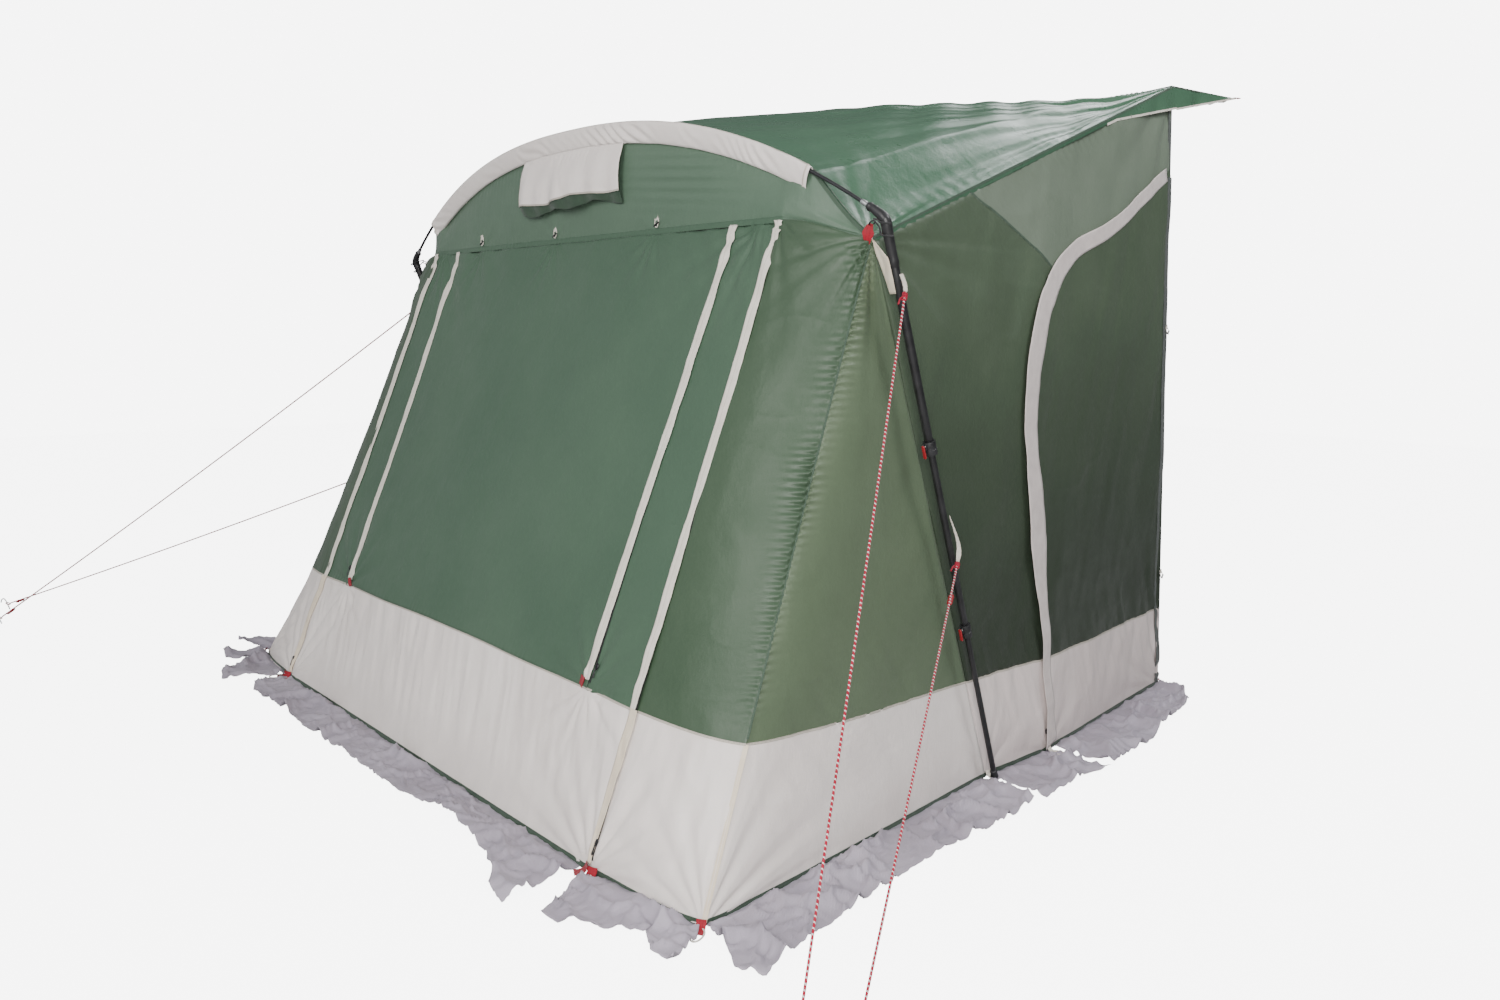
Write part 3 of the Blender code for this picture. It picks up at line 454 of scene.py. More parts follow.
def swept_piece(name, path, radii, material, body, side=1, sides=16, reference=(0.0, 0.0, 1.0), **kept):
    """A closed round body along a path; radii is one number, or one or two per point."""
    path = np.asarray(path, float)
    radii = np.asarray(radii, float)
    if radii.ndim == 0:
        radii = np.full(len(path), float(radii))
    if radii.ndim == 1:
        radii = np.stack([radii, radii], axis=1)
    first, second = path_frames(path, reference)
    turn = np.linspace(0, 2 * math.pi, sides, endpoint=False)
    ring = first[:, None] * (np.cos(turn)[:, None] * radii[:, None, :1])
    ring = ring + second[:, None] * (np.sin(turn)[:, None] * radii[:, None, 1:])
    verts = (path[:, None] + ring).reshape(-1, 3)
    verts = np.vstack([verts, path[0], path[-1]])
    faces = grid_faces(len(path), sides, closed=True)
    base, tip, last = len(verts) - 2, len(verts) - 1, (len(path) - 1) * sides
    for i in range(sides):
        j = (i + 1) % sides
        faces.append((base, j, i))
        faces.append((tip, last + i, last + j))
    if side < 0:
        faces = [face[::-1] for face in faces]
    piece = new_mesh(name, place(verts, side), faces, material, None, 42)
    return finish_piece(piece, body, **kept)


def band_piece(name, path, facing, width, thickness, material, body, side=1, **kept):
    """Flat webbing along a path, its wide side across facing, with rounded edges."""
    path = np.asarray(path, float)
    facing = np.broadcast_to(np.asarray(facing, float), path.shape)
    along = unit(np.gradient(path, axis=0))
    facing = unit(facing - along * dot(along, facing)[:, None])
    across = np.cross(along, facing)
    half = np.broadcast_to(np.asarray(width, float) / 2, (len(path),))[:, None, None]
    corner = thickness * 0.35
    outline = [(1, -1), (1, 1), (-1, 1), (-1, -1)]
    ring = []
    for a, b in outline:
        soft = [(a, b * 0.3), (a * 0.985, b)] if a * b < 0 else [(a * 0.985, b), (a, b * 0.3)]
        ring += soft
    shape = np.array(ring)
    verts = path[:, None] + across[:, None] * (shape[:, :1] * (half - corner))
    verts = (verts + facing[:, None] * (shape[:, 1:] * thickness / 2)).reshape(-1, 3)
    count = len(shape)
    faces = grid_faces(len(path), count, closed=True)
    faces.append(list(range(count))[::-1])
    faces.append([(len(path) - 1) * count + i for i in range(count)])
    if side < 0:
        faces = [face[::-1] for face in faces]
    along_m = np.repeat(lengths_along(path), count)
    across_m = np.tile(shape[:, 0], len(path)) * np.repeat(half[:, 0, 0], count)
    uvs = np.stack([across_m, along_m], axis=-1)
    piece = new_mesh(name, place(verts, side), faces, material, uvs, 50)
    face_outward(piece.data)
    return finish_piece(piece, body, **kept)


def block_piece(name, centre, axes, half_sizes, material, body, side=1, bevel=0.3, **kept):
    """A moulded block along three axes, with well rounded edges."""
    mesh = bmesh.new()
    bmesh.ops.create_cube(mesh, size=2.0)
    bmesh.ops.scale(mesh, verts=mesh.verts, vec=half_sizes)
    bmesh.ops.bevel(
        mesh, geom=list(mesh.edges), offset=min(half_sizes) * bevel * 2, segments=3, profile=0.5,
        affect="EDGES",
    )
    rows = [unit(mirrored(axis, side)) for axis in axes]
    rows[2] = np.cross(rows[0], rows[1])
    turned = Matrix([list(row) for row in rows]).transposed().to_4x4()
    moved = Matrix.Translation(Vector(place(centre, side)))
    bmesh.ops.transform(mesh, matrix=moved @ turned, verts=mesh.verts)
    data = bpy.data.meshes.new(name)
    mesh.to_mesh(data)
    mesh.free()
    data.shade_smooth()
    data.set_sharp_from_angle(angle=math.radians(35))
    data.materials.append(MATERIALS[material])
    piece = bpy.data.objects.new(name, data)
    bpy.context.scene.collection.objects.link(piece)
    return finish_piece(piece, body, **kept)


# ---------------------------------------------------------------- materials
class Shade:
    """A Principled material with short helpers for its nodes."""

    def __init__(self, name, roughness=0.5, metallic=0.0, **plain):
        self.material = bpy.data.materials.new(name)
        self.material.use_nodes = True
        self.tree = self.material.node_tree
        self.shader = self.tree.nodes["Principled BSDF"]
        self.shader.inputs["Roughness"].default_value = roughness
        self.shader.inputs["Metallic"].default_value = metallic
        for socket, value in plain.items():
            self.shader.inputs[socket.replace("_", " ")].default_value = value

    def node(self, kind, inputs=(), **settings):
        made = self.tree.nodes.new(kind)
        for name, value in settings.items():
            setattr(made, name, value)
        for name, value in dict(inputs).items():
            if isinstance(value, bpy.types.NodeSocket):
                self.tree.links.new(value, made.inputs[name])
            else:
                made.inputs[name].default_value = value
        return made

    def coordinates(self, scale=(1.0, 1.0, 1.0), source="Object"):
        spot = self.node("ShaderNodeTexCoord").outputs[source]
        return self.node("ShaderNodeMapping", {"Vector": spot, "Scale": scale}).outputs[0]

    def parts(self, source):
        """The three parts of a coordinate."""
        spot = self.node("ShaderNodeTexCoord").outputs[source]
        return self.node("ShaderNodeSeparateXYZ", {"Vector": spot}).outputs

    def spots(self, scale, detail=3.0, stretch=(1.0, 1.0, 1.0), roughness=0.55):
        values = {"Vector": self.coordinates(stretch), "Scale": scale, "Detail": detail}
        values["Roughness"] = roughness
        return self.node("ShaderNodeTexNoise", values).outputs[0]

    def maths(self, operation, first, second=0.0, third=None):
        made = self.node("ShaderNodeMath", operation=operation)
        for slot, value in enumerate((first, second, third)):
            if isinstance(value, bpy.types.NodeSocket):
                self.tree.links.new(value, made.inputs[slot])
            elif value is not None:
                made.inputs[slot].default_value = value
        return made.outputs[0]

    def ramp(self, value, low, high, out_low=0.0, out_high=1.0):
        names = ("Value", "From Min", "From Max", "To Min", "To Max")
        made = self.node("ShaderNodeMapRange", dict(zip(names, (value, low, high, out_low, out_high))))
        return made.outputs[0]

    def mix(self, factor, first, second):
        made = self.node("ShaderNodeMix", data_type="RGBA")
        for slot, value in ((0, factor), (6, first), (7, second)):
            if isinstance(value, bpy.types.NodeSocket):
                self.tree.links.new(value, made.inputs[slot])
            elif slot == 0:
                made.inputs[slot].default_value = value
            else:
                made.inputs[slot].default_value = (*value, 1.0)
        return made.outputs[2]

    def paint(self, colour):
        self.tree.links.new(colour, self.shader.inputs["Base Color"])

    def rough(self, value):
        self.tree.links.new(value, self.shader.inputs["Roughness"])

    def bump(self, height, distance, strength=1.0, under=None):
        inputs = {"Height": height, "Distance": distance, "Strength": strength}
        if under is not None:
            inputs["Normal"] = under
        made = self.node("ShaderNodeBump", inputs)
        self.tree.links.new(made.outputs[0], self.shader.inputs["Normal"])
        return made.outputs[0]


def weave(shade, pitch, source="UV"):
    """Over and under threads of a plain weave, from 0 to 1, pitch metres apart."""
    spot = shade.coordinates(source=source)
    parts = shade.node("ShaderNodeSeparateXYZ", {"Vector": spot}).outputs
    turn = 2 * math.pi / pitch
    warp = shade.maths("SINE", shade.maths("MULTIPLY", parts[0], turn))
    weft = shade.maths("SINE", shade.maths("MULTIPLY", parts[1], turn))
    return shade.ramp(shade.maths("MULTIPLY", warp, weft), -1.0, 1.0)


def cloth_shade(
    name, dark, light, roughness, sheen, pitch=0.0012, wrinkle=0.0008, dirt=None, shine=0.40, painted_low_shade=None
):
    """Woven, coated tent cloth: a plain weave, fine crumples and uneven dye.

    dirt is a colour near the ground. The last argument is a painted shade: the share of the colour left below
    hip height, darkening the cloth towards the bottom.
    """
    shade = Shade(name, roughness, Sheen_Weight=sheen, Sheen_Roughness=0.45, Specular_IOR_Level=shine)
    cloudy = shade.ramp(shade.spots(2.2, 4.0), 0.34, 0.66)
    threads = shade.spots(900.0, 2.0, (1.0, 1.0, 0.06))
    colour = shade.mix(cloudy, dark, light)
    lighter = tuple(min(1.0, part * 1.16) for part in light)
    colour = shade.mix(shade.ramp(threads, 0.45, 0.75, 0.0, 0.35), colour, lighter)
    # Painted shade: below about hip height the colour darkens towards the bottom.
    if painted_low_shade is not None:
        height = shade.parts("Object")[2]
        uneven = shade.maths("MULTIPLY_ADD", shade.spots(1.1, 2.0), 0.5, height)
        low = shade.ramp(uneven, 0.75, 1.75, 1.0, 0.0)
        colour = shade.mix(low, colour, tuple(part * painted_low_shade for part in dark))
    if dirt is not None:
        height = shade.parts("Object")[2]
        low = shade.ramp(height, 0.0, 0.16, 0.55, 0.0)
        colour = shade.mix(shade.maths("MULTIPLY", low, shade.spots(14.0, 5.0)), colour, dirt)
    shade.paint(colour)
    uneven = shade.spots(7.0, 4.0)
    shade.rough(shade.ramp(uneven, 0.3, 0.7, roughness - 0.06, roughness + 0.07))
    fine = shade.bump(shade.spots(26.0, 5.0, (1.0, 1.0, 0.55), 0.62), wrinkle * 4, 0.55)
    shade.bump(weave(shade, pitch), pitch * 0.12, 0.35, fine)
    return shade.material


def tape_shade(name, dark, light, pitch=0.0016, roughness=0.72, stitches=0.0):
    """Woven tape or webbing; stitches is the distance of its sewn rows from the middle."""
    shade = Shade(name, roughness, Sheen_Weight=0.15, Sheen_Roughness=0.5, Specular_IOR_Level=0.3)
    colour = shade.mix(shade.ramp(shade.spots(30.0, 4.0), 0.35, 0.65), dark, light)
    woven = weave(shade, pitch)
    colour = shade.mix(shade.ramp(woven, 0.0, 1.0, 0.0, 0.22), colour, tuple(c * 0.7 for c in dark))
    height = woven
    if stitches:
        parts = shade.parts("UV")
        off = shade.maths("SUBTRACT", shade.maths("ABSOLUTE", parts[0]), stitches)
        row = shade.ramp(shade.maths("ABSOLUTE", off), 0.0006, 0.0011, 1.0, 0.0)
        beat = shade.maths("SINE", shade.maths("MULTIPLY", parts[1], 2 * math.pi / 0.0042))
        thread = shade.maths("MULTIPLY", row, shade.ramp(beat, -0.35, 0.05))
        colour = shade.mix(thread, colour, tuple(c * 0.55 for c in dark))
        height = shade.maths("SUBTRACT", woven, shade.maths("MULTIPLY", row, 2.0))
    shade.paint(colour)
    shade.rough(shade.ramp(shade.spots(60.0), 0.3, 0.7, roughness - 0.07, roughness + 0.07))
    shade.bump(height, pitch * 0.2, 0.5)
    return shade.material


def hard_shade(name, dark, light, roughness, metallic=0.0):
    """Moulded plastic, painted tube or plated metal with fine grain and handling marks."""
    shade = Shade(name, roughness, metallic)
    wear = shade.ramp(shade.spots(18.0, 5.0), 0.42, 0.70)
    shade.paint(shade.mix(wear, dark, light))
    shade.rough(shade.ramp(shade.spots(45.0, 4.0), 0.3, 0.7, roughness - 0.06, roughness + 0.10))
    shade.bump(shade.spots(220.0, 3.0), 0.00006, 0.5)
    return shade.material


def net_shade():
    """Fine insect net, mostly holes."""
    shade = Shade("insect_net", 0.8, Specular_IOR_Level=0.2)
    shade.paint(shade.mix(weave(shade, 0.0018), (0.012, 0.013, 0.013), (0.045, 0.048, 0.047)))
    shade.shader.inputs["Alpha"].default_value = 0.72
    shade.bump(weave(shade, 0.0018), 0.0003, 0.6)
    return shade.material


def make_materials():
    green = ((0.047, 0.094, 0.057), (0.058, 0.108, 0.067))
    upper = ((0.076, 0.128, 0.086), (0.090, 0.146, 0.099))
    # Painted shade: a darker copy of the green cloth for the front corners, holding back the strong corner
    # lamp.
    corner = ((0.038, 0.070, 0.038), (0.047, 0.081, 0.046))
    # Painted light: a lighter copy of the green cloth for the gores by the legs, for light shining through
    # the cloth there.
    gore = ((0.086, 0.121, 0.071), (0.100, 0.138, 0.083))
    # Painted shade: a darker copy of the green cloth for the side walls and doors, which face away from the
    # light.
    side = ((0.054, 0.080, 0.048), (0.066, 0.094, 0.058))
    panel = ((0.124, 0.158, 0.116), (0.141, 0.177, 0.132))
    roof = ((0.050, 0.112, 0.068), (0.063, 0.129, 0.080))
    beige = ((0.745, 0.682, 0.650), (0.815, 0.757, 0.722))
    # Painted shade: a darker copy of the beige for the side bands, which face away from the light.
    side_beige = ((0.650, 0.572, 0.552), (0.720, 0.642, 0.618))
    made = {
        "green": cloth_shade("green_taffeta", *green, 0.46, 0.05),
        "upper": cloth_shade("green_upper_taffeta", *upper, 0.46, 0.05),
        "corner": cloth_shade("green_corner_taffeta_painted_shade", *corner, 0.44, 0.05),
        "gore": cloth_shade("green_gore_taffeta_painted_light", *gore, 0.46, 0.04),
        # The side copy is darker as painted shade, and darker still towards the hem.
        "side": cloth_shade("green_side_taffeta_painted_shade", *side, 0.46, 0.04, painted_low_shade=0.42),
        "panel": cloth_shade("green_panel_taffeta", *panel, 0.50, 0.05),
        "roof": cloth_shade("green_roof_taffeta", *roof, 0.30, 0.0, shine=0.13),
        "beige": cloth_shade(
            "beige_taffeta", *beige, 0.50, 0.06, wrinkle=0.0011, dirt=(0.46, 0.43, 0.40),
        ),
        # The side bands' beige and dirt colours are darker copies, painted shade.
        "side_beige": cloth_shade(
            "side_beige_taffeta", *side_beige, 0.50, 0.06, wrinkle=0.0011, dirt=(0.40, 0.36, 0.34),
        ),
        "skirt": cloth_shade(
            "skirt_polythene", (0.302, 0.269, 0.322), (0.392, 0.354, 0.415), 0.50, 0.05, 0.0020, 0.0012,
        ),
        "net": net_shade(),
    }
    # Name, dark and light colour, thread pitch, roughness, distance of the stitches.
    tapes = {
        "flap": ("cream_flap", (0.720, 0.675, 0.590), (0.800, 0.755, 0.670), 0.0012, 0.62, 0.0150),
        "foot_flap": ("yellow_cream_flap", (0.720, 0.620, 0.480), (0.790, 0.700, 0.560), 0.0012),
        "side_flap": ("grey_beige_flap", (0.600, 0.530, 0.510), (0.680, 0.610, 0.585), 0.0012),
        "cream": ("cream_webbing", (0.640, 0.590, 0.520), (0.720, 0.680, 0.610), 0.0014),
        "hem": ("green_hem_tape", (0.030, 0.058, 0.036), (0.045, 0.078, 0.050), 0.0014, 0.7, 0.0032),
        "edge_tape": ("grey_edge_tape", (0.052, 0.062, 0.058), (0.070, 0.082, 0.076), 0.0014, 0.6, 0.016),
        "seam": ("green_seam", (0.046, 0.082, 0.053), (0.060, 0.100, 0.066), 0.0012, 0.6, 0.0018),
        "beige_seam": ("beige_seam", (0.50, 0.46, 0.40), (0.60, 0.55, 0.48), 0.0012, 0.6, 0.0018),
        "red": ("red_webbing", (0.270, 0.004, 0.014), (0.350, 0.007, 0.022), 0.0016, 0.6, 0.0045),
        # The black zip tape also serves as a painted shadow beside the zip flaps.
        "zip_tape": ("black_zip_tape_with_painted_shadow", (0.010, 0.010, 0.011), (0.022, 0.022, 0.024), 0.0010),
        "rope_red": ("rope_red_yarn", (0.290, 0.004, 0.022), (0.380, 0.008, 0.034), 0.0009),
        "rope_white": ("rope_white_yarn", (0.700, 0.640, 0.620), (0.800, 0.760, 0.740), 0.0009),
        "bungee": ("black_shock_cord", (0.012, 0.012, 0.013), (0.030, 0.030, 0.032), 0.0012),
    }
    made.update({key: tape_shade(*values) for key, values in tapes.items()})
    # Name, dark and light colour, roughness, metallic share.
    hard = {
        "tube": ("black_tube_paint", (0.010, 0.010, 0.011), (0.020, 0.020, 0.022), 0.34),
        "rod": ("glass_fibre_rod", (0.012, 0.012, 0.014), (0.022, 0.022, 0.024), 0.40),
        "plastic": ("black_plastic", (0.012, 0.012, 0.013), (0.024, 0.024, 0.026), 0.40),
        "red_plastic": ("red_plastic", (0.240, 0.008, 0.012), (0.300, 0.012, 0.018), 0.38),
        "steel": ("plated_steel", (0.58, 0.58, 0.59), (0.70, 0.70, 0.71), 0.26, 1.0),
        "zip_metal": ("zip_metal", (0.030, 0.030, 0.032), (0.060, 0.060, 0.062), 0.34, 0.8),
    }
    made.update({key: hard_shade(*values) for key, values in hard.items()})
    return made


MATERIALS = make_materials()


# ---------------------------------------------------------------- camera and light
def make_camera():
    """Stands in front of the right-hand corner and looks a little down."""
    yaw, pitch, roll = (math.radians(a) for a in CAMERA_ANGLES)
    data = bpy.data.cameras.new("camera")
    data.sensor_width = CAMERA_SENSOR
    data.lens = CAMERA_LENS
    data.clip_end = 100.0
    camera = bpy.data.objects.new("camera", data)
    turned = Matrix.Rotation(yaw, 4, "Z") @ Matrix.Rotation(math.pi / 2 + pitch, 4, "X")
    turned = turned @ Matrix.Rotation(roll, 4, "Z")
    camera.matrix_world = Matrix.Translation(CAMERA_PLACE) @ turned
    bpy.context.scene.collection.objects.link(camera)
    bpy.context.scene.camera = camera


def area_light(name, place_at, aim, size, power, colour=(1.0, 1.0, 1.0)):
    data = bpy.data.lights.new(name, "AREA")
    data.shape = "RECTANGLE"
    data.size, data.size_y = size
    data.energy = power
    data.color = colour
    light = bpy.data.objects.new(name, data)
    light.location = place_at
    light.rotation_euler = (Vector(aim) - Vector(place_at)).to_track_quat("-Z", "Y").to_euler()
    bpy.context.scene.collection.objects.link(light)


def make_studio():
    """Soft light from the front right and from above, before a white ground."""
    world = bpy.data.worlds.new("studio")
    world.use_nodes = True
    tree = world.node_tree
    soft = tree.nodes["Background"]
    soft.inputs["Color"].default_value = (0.95, 0.97, 1.0, 1.0)
    facing = tree.nodes.new("ShaderNodeTexCoord").outputs["Generated"]
    parts = tree.nodes.new("ShaderNodeSeparateXYZ")
    tree.links.new(facing, parts.inputs[0])
    dimmer = tree.nodes.new("ShaderNodeMapRange")
    for name, value in (("From Min", -0.7), ("From Max", 0.7), ("To Min", 0.64), ("To Max", 0.12)):
        dimmer.inputs[name].default_value = value
    tree.links.new(parts.outputs[1], dimmer.inputs["Value"])
    tree.links.new(dimmer.outputs[0], soft.inputs["Strength"])
    white = tree.nodes.new("ShaderNodeBackground")
    white.inputs["Color"].default_value = (1.0, 1.0, 1.0, 1.0)
    white.inputs["Strength"].default_value = BACKDROP_STRENGTH
    seen = tree.nodes.new("ShaderNodeLightPath").outputs["Is Camera Ray"]
    both = tree.nodes.new("ShaderNodeMixShader")
    tree.links.new(seen, both.inputs[0])
    tree.links.new(soft.outputs[0], both.inputs[1])
    tree.links.new(white.outputs[0], both.inputs[2])
    tree.links.new(both.outputs[0], tree.nodes["World Output"].inputs["Surface"])
    bpy.context.scene.world = world
    area_light("key", (1.6, -7.0, 4.4), (0.3, -0.6, 1.0), (3.6, 3.2), 268.0, (1.0, 0.985, 0.96))
    area_light("corner", (4.2, -3.3, 1.8), (1.4, -0.6, 0.7), (1.6, 1.6), 150.0, (1.0, 0.98, 0.96))
    area_light("side", (3.5, 1.0, 4.4), (1.2, 0.6, 1.8), (1.4, 1.4), 112.0, (0.98, 0.99, 1.0))
    area_light("roof", (-0.4, 4.6, 6.0), (0.4, 0.7, 2.2), (2.0, 2.0), 136.0, (0.96, 0.98, 1.0))
    xs = np.linspace(-14, 14, 3)
    floor = vec(*np.meshgrid(xs, xs), -0.0005)
    shade = Shade("pale_floor", 0.85)
    shade.paint(
        shade.mix(shade.ramp(shade.spots(0.8, 3.0), 0.3, 0.7), (0.36, 0.36, 0.36), (0.40, 0.40, 0.40))
    )
    shade.shader.inputs["Emission Color"].default_value = (1.0, 1.0, 1.0, 1.0)
    glow = shade.node("ShaderNodeLightPath").outputs["Is Camera Ray"]
    shade.tree.links.new(shade.maths("MULTIPLY", glow, FLOOR_GLOW), shade.shader.inputs["Emission Strength"])
    MATERIALS["floor"] = shade.material
    piece = new_mesh("floor", floor.reshape(-1, 3), grid_faces(3, 3), "floor")


# ---------------------------------------------------------------- guy ropes
def rope_route(name):
    """The same line as the rope's solid: from beside the leg to just above its peg."""
    leg_share, ground = ROPES[name]
    side = 1 if "right" in name else -1
    _, outward, _ = leg_directions(side)
    start = mirrored(leg_point(leg_share * LEG_LENGTH), side) + outward * ROPE_STAND_OFF
    end = np.array(ground) + (0.0, 0.0, PEG_EYE_Z)
    run = end - start
    length = float(np.linalg.norm(run))
    at = np.linspace(0.0, 1.0 - ROPE_END_GAP / length, 20)[:, None]
    sag = 4 * at * (1 - at) * ROPE_SAG_SHARE * length
    return start + run * at - sag * np.array((0.0, 0.0, 1.0)), start, end


def rope_cover(name, route):
    """A braided cord: two yarn colours wind round it and stand up as small beads."""
    sides, steps = BRAID_SIDES, BRAID_STEPS
    length = line_length(route)
    count = int(length / BRAID_TURN * steps) + 1
    path = even(route, count)
    first, second = path_frames(path, (0.3, 0.2, 1.0))
    turn = np.linspace(0, 2 * math.pi, sides, endpoint=False)
    phase = np.arange(count)[:, None] / steps + np.arange(sides)[None, :] / sides
    radius = ROPE_DIAMETER / 2 * (0.97 + 0.09 * np.abs(np.sin(math.pi * 2 * phase)))
    ring = first[:, None] * (np.cos(turn)[None, :] * radius)[..., None]
    ring = ring + second[:, None] * (np.sin(turn)[None, :] * radius)[..., None]
    verts = (path[:, None] + ring).reshape(-1, 3)
    faces = grid_faces(count, sides, closed=True)
    faces.append(list(range(sides))[::-1])
    faces.append([(count - 1) * sides + i for i in range(sides)])
    piece = new_mesh(name, place(verts), faces, ("rope_red", "rope_white"))
    white = (phase[:-1] % 1.0) > RED_SHARE
    index = np.zeros(len(piece.data.polygons), np.int32)
    index[: white.size] = white.ravel()
    piece.data.polygons.foreach_set("material_index", index)
    return piece, path, length


def ring_points(centre, first, second, radius, turns=1.0, start=0.0, count=28):
    """Points round a ring; more than one turn goes round again."""
    turn = np.linspace(start, start + turns * 2 * math.pi, count)[:, None]
    return centre + (np.cos(turn) * first + np.sin(turn) * second) * radius


def make_rope(name):
    route, start, end = rope_route(name)
    rope, path, length = rope_cover(name + "_cord", route)
    label = name.replace("guy_rope_", "")
    finish_piece(rope, "root", "rope_red", (name,))
    along = unit(end - start)
    across = unit(np.cross(along, (0.0, 0.0, 1.0)))
    up = np.cross(across, along)
    # The knot at the leg: three turns round the rope and a short tail.
    knot_at = start + along * 0.016
    turns = ring_points(knot_at, across, up, KNOT_RADIUS, KNOT_TURNS, count=KNOT_POINTS)
    turns = turns + along * np.linspace(-KNOT_HALF_LENGTH, KNOT_HALF_LENGTH, KNOT_POINTS)[:, None]
    knot = swept_piece("knot_" + label, turns, 0.0026, "rope_red", "root", sides=8, reference=along)
    tail = [
        knot_at + across * 0.004, knot_at + across * 0.011 + along * 0.008,
        knot_at + across * 0.014 + along * 0.026,
    ]
    tail = swept_piece(
        "knot_tail_" + label, curve_through(tail, 24), 0.0024, "rope_red", "root", sides=10,
        reference=along,
    )
    # The tensioner: a small flat bar along the rope.
    runner_share = RUNNER_SHARES[name]
    runner_at = lerp(start, end, runner_share) - up * 0.0052
    runner_at[2] -= 4 * runner_share * (1 - runner_share) * ROPE_SAG_SHARE * length
    bar = [runner_at + across * a + along * b for a, b in ((-0.0005, -0.022), (0.0, 0.0), (0.0005, 0.022))]
    radii = [(0.0026, 0.0054)] + [(0.0042, 0.0080)] * 7 + [(0.0026, 0.0054)]
    bar = swept_piece(
        "tensioner_" + label, curve_through(bar, 9), radii, "red_plastic", "root", sides=16, reference=up,
    )
    # The loop over the peg, and the peg itself.
    away = unit(along * (1, 1, 0))
    eye = end + away * 0.004
    loop = ring_points(eye, away, np.array((0, 0, 1.0)) * 0.6 + along * 0.4, 0.0105, 1.0, 2.6)
    loop = swept_piece("peg_loop_" + label, loop, 0.0027, "rope_red", "root", sides=8, reference=across)
    foot = end * (1, 1, 0) - away * 0.004
    hook = [(0.0, 0.0012), (0.010, 0.024), (0.020, 0.046), (0.031, 0.054), (0.042, 0.047), (0.045, 0.034)]
    hook = [foot + away * a + np.array((0.0, 0.0, b)) for a, b in hook]
    peg = swept_piece(
        "peg_" + label, curve_through(hook, 40), 0.0030, "steel", "root", reference=across,
        slot="peg_steel", nodes=(name.replace("guy_rope", "guy_peg"),),
    )


make_camera()
make_studio()
for rope_name in ROPES:
    make_rope(rope_name)


# ---------------------------------------------------------------- front wall
TOGGLE_XS = (-0.690, -0.130, 0.500)
# The head of the window cover stays on the door and the cover folds just below it; a piece given these bodies
# and points is only baked in place, attached to no body.
COVER_BEND = ("front_door", "window_cover", front(0.0, 1.706), front(0.0, 1.672))


def front_folds(p, a, b):
    """Folds of the whole front, shared by the door, its frame and the window cover."""
    facing = (0.0, -0.93, 0.37)
    total = billow(p, 0.70, 0.0060, 1.0) + billow(p, 0.16, 0.0014, 2.0) + creases(p, 0.30, 0.0016, 3.0)
    top = 1 - smooth(SEAM_Z - b, 0.0, 0.42)
    lean = (a * 0.80 + b * 0.60) * np.where(a > 0, 1.0, 0.55)
    total += top * smooth(np.abs(a), 0.15, 0.75) * pleats(lean, b, 0.085, 0.0058, 4.0)
    for x in TOGGLE_XS:
        total += fan(p, upper_seam(x), facing, 0.15, 11.0, 0.0052, x)
    for side in (1.0, -1.0):
        hem_peg = front(side * DOOR_HALF_HEM, 0.0)
        total += fan(p, hem_peg, facing, 0.36, 17.0, 0.0085, 6.0 + side)
        window_foot = front(side * COVER_HALF_WIDTH, BAND_Z["middle"])
        total += fan(p, window_foot, facing, 0.24, 12.0, 0.0055, 9.0 + side)
        zip_top = front(side * 1.02, SEAM_Z)
        total += fan(p, zip_top, facing, 0.34, 13.0, 0.0060, 12.0 + side)
    band = smooth(BAND_Z["middle"] - b, 0.0, 0.02) * (1 - smooth(BAND_Z["middle"] - b, 0.16, 0.40))
    total += band * streaks(a * 0.92 + b * 0.35, b, 0.034, 0.0046, 14.0)
    total += gathers(a, b - BAND_Z["middle"], 0.026, 0.0011, 0.018, 15.0)
    total += gathers(a, b - SEAM_Z, 0.022, 0.0014, 0.020, 16.0)
    pegged = smooth(b, 0.0, 0.05)
    return total * (0.25 + 0.75 * pegged)


FRONT = Wall(front, front_folds)


def band_height(x):
    """The band seam on the front; it sinks a little towards the corners."""
    x = np.abs(np.asarray(x, float))
    low = lerp(BAND_Z["middle"], BAND_Z["zip"], share(x, 0.0, DOOR_HALF_HEM))
    return low + 0.0016 * np.sin(x * 9.0)


def front_grid(xs, heights, wall=FRONT, lift=0.0):
    """Rows of the front wall; each height is one number or one for every x."""
    return np.array([wall.at(xs, z + 0 * xs, lift) for z in heights])


def between(low, high, count):
    """Heights of count rows from one line over x to another."""
    return [lerp(low, high, t) for t in np.linspace(0, 1, count)]


def front_sheet(name, xs, heights, material, rests_on, body="front_door", lift=0.0, wall=FRONT, **kept):
    """A cloth of the front wall; its plain grid before the folds is worked out but not used."""
    piece = cloth_piece(name, front_grid(xs, heights, wall, lift), material, body, **kept)
    flat = front_grid(xs, heights, Wall(front, lambda p, a, b: 0.0 * a))


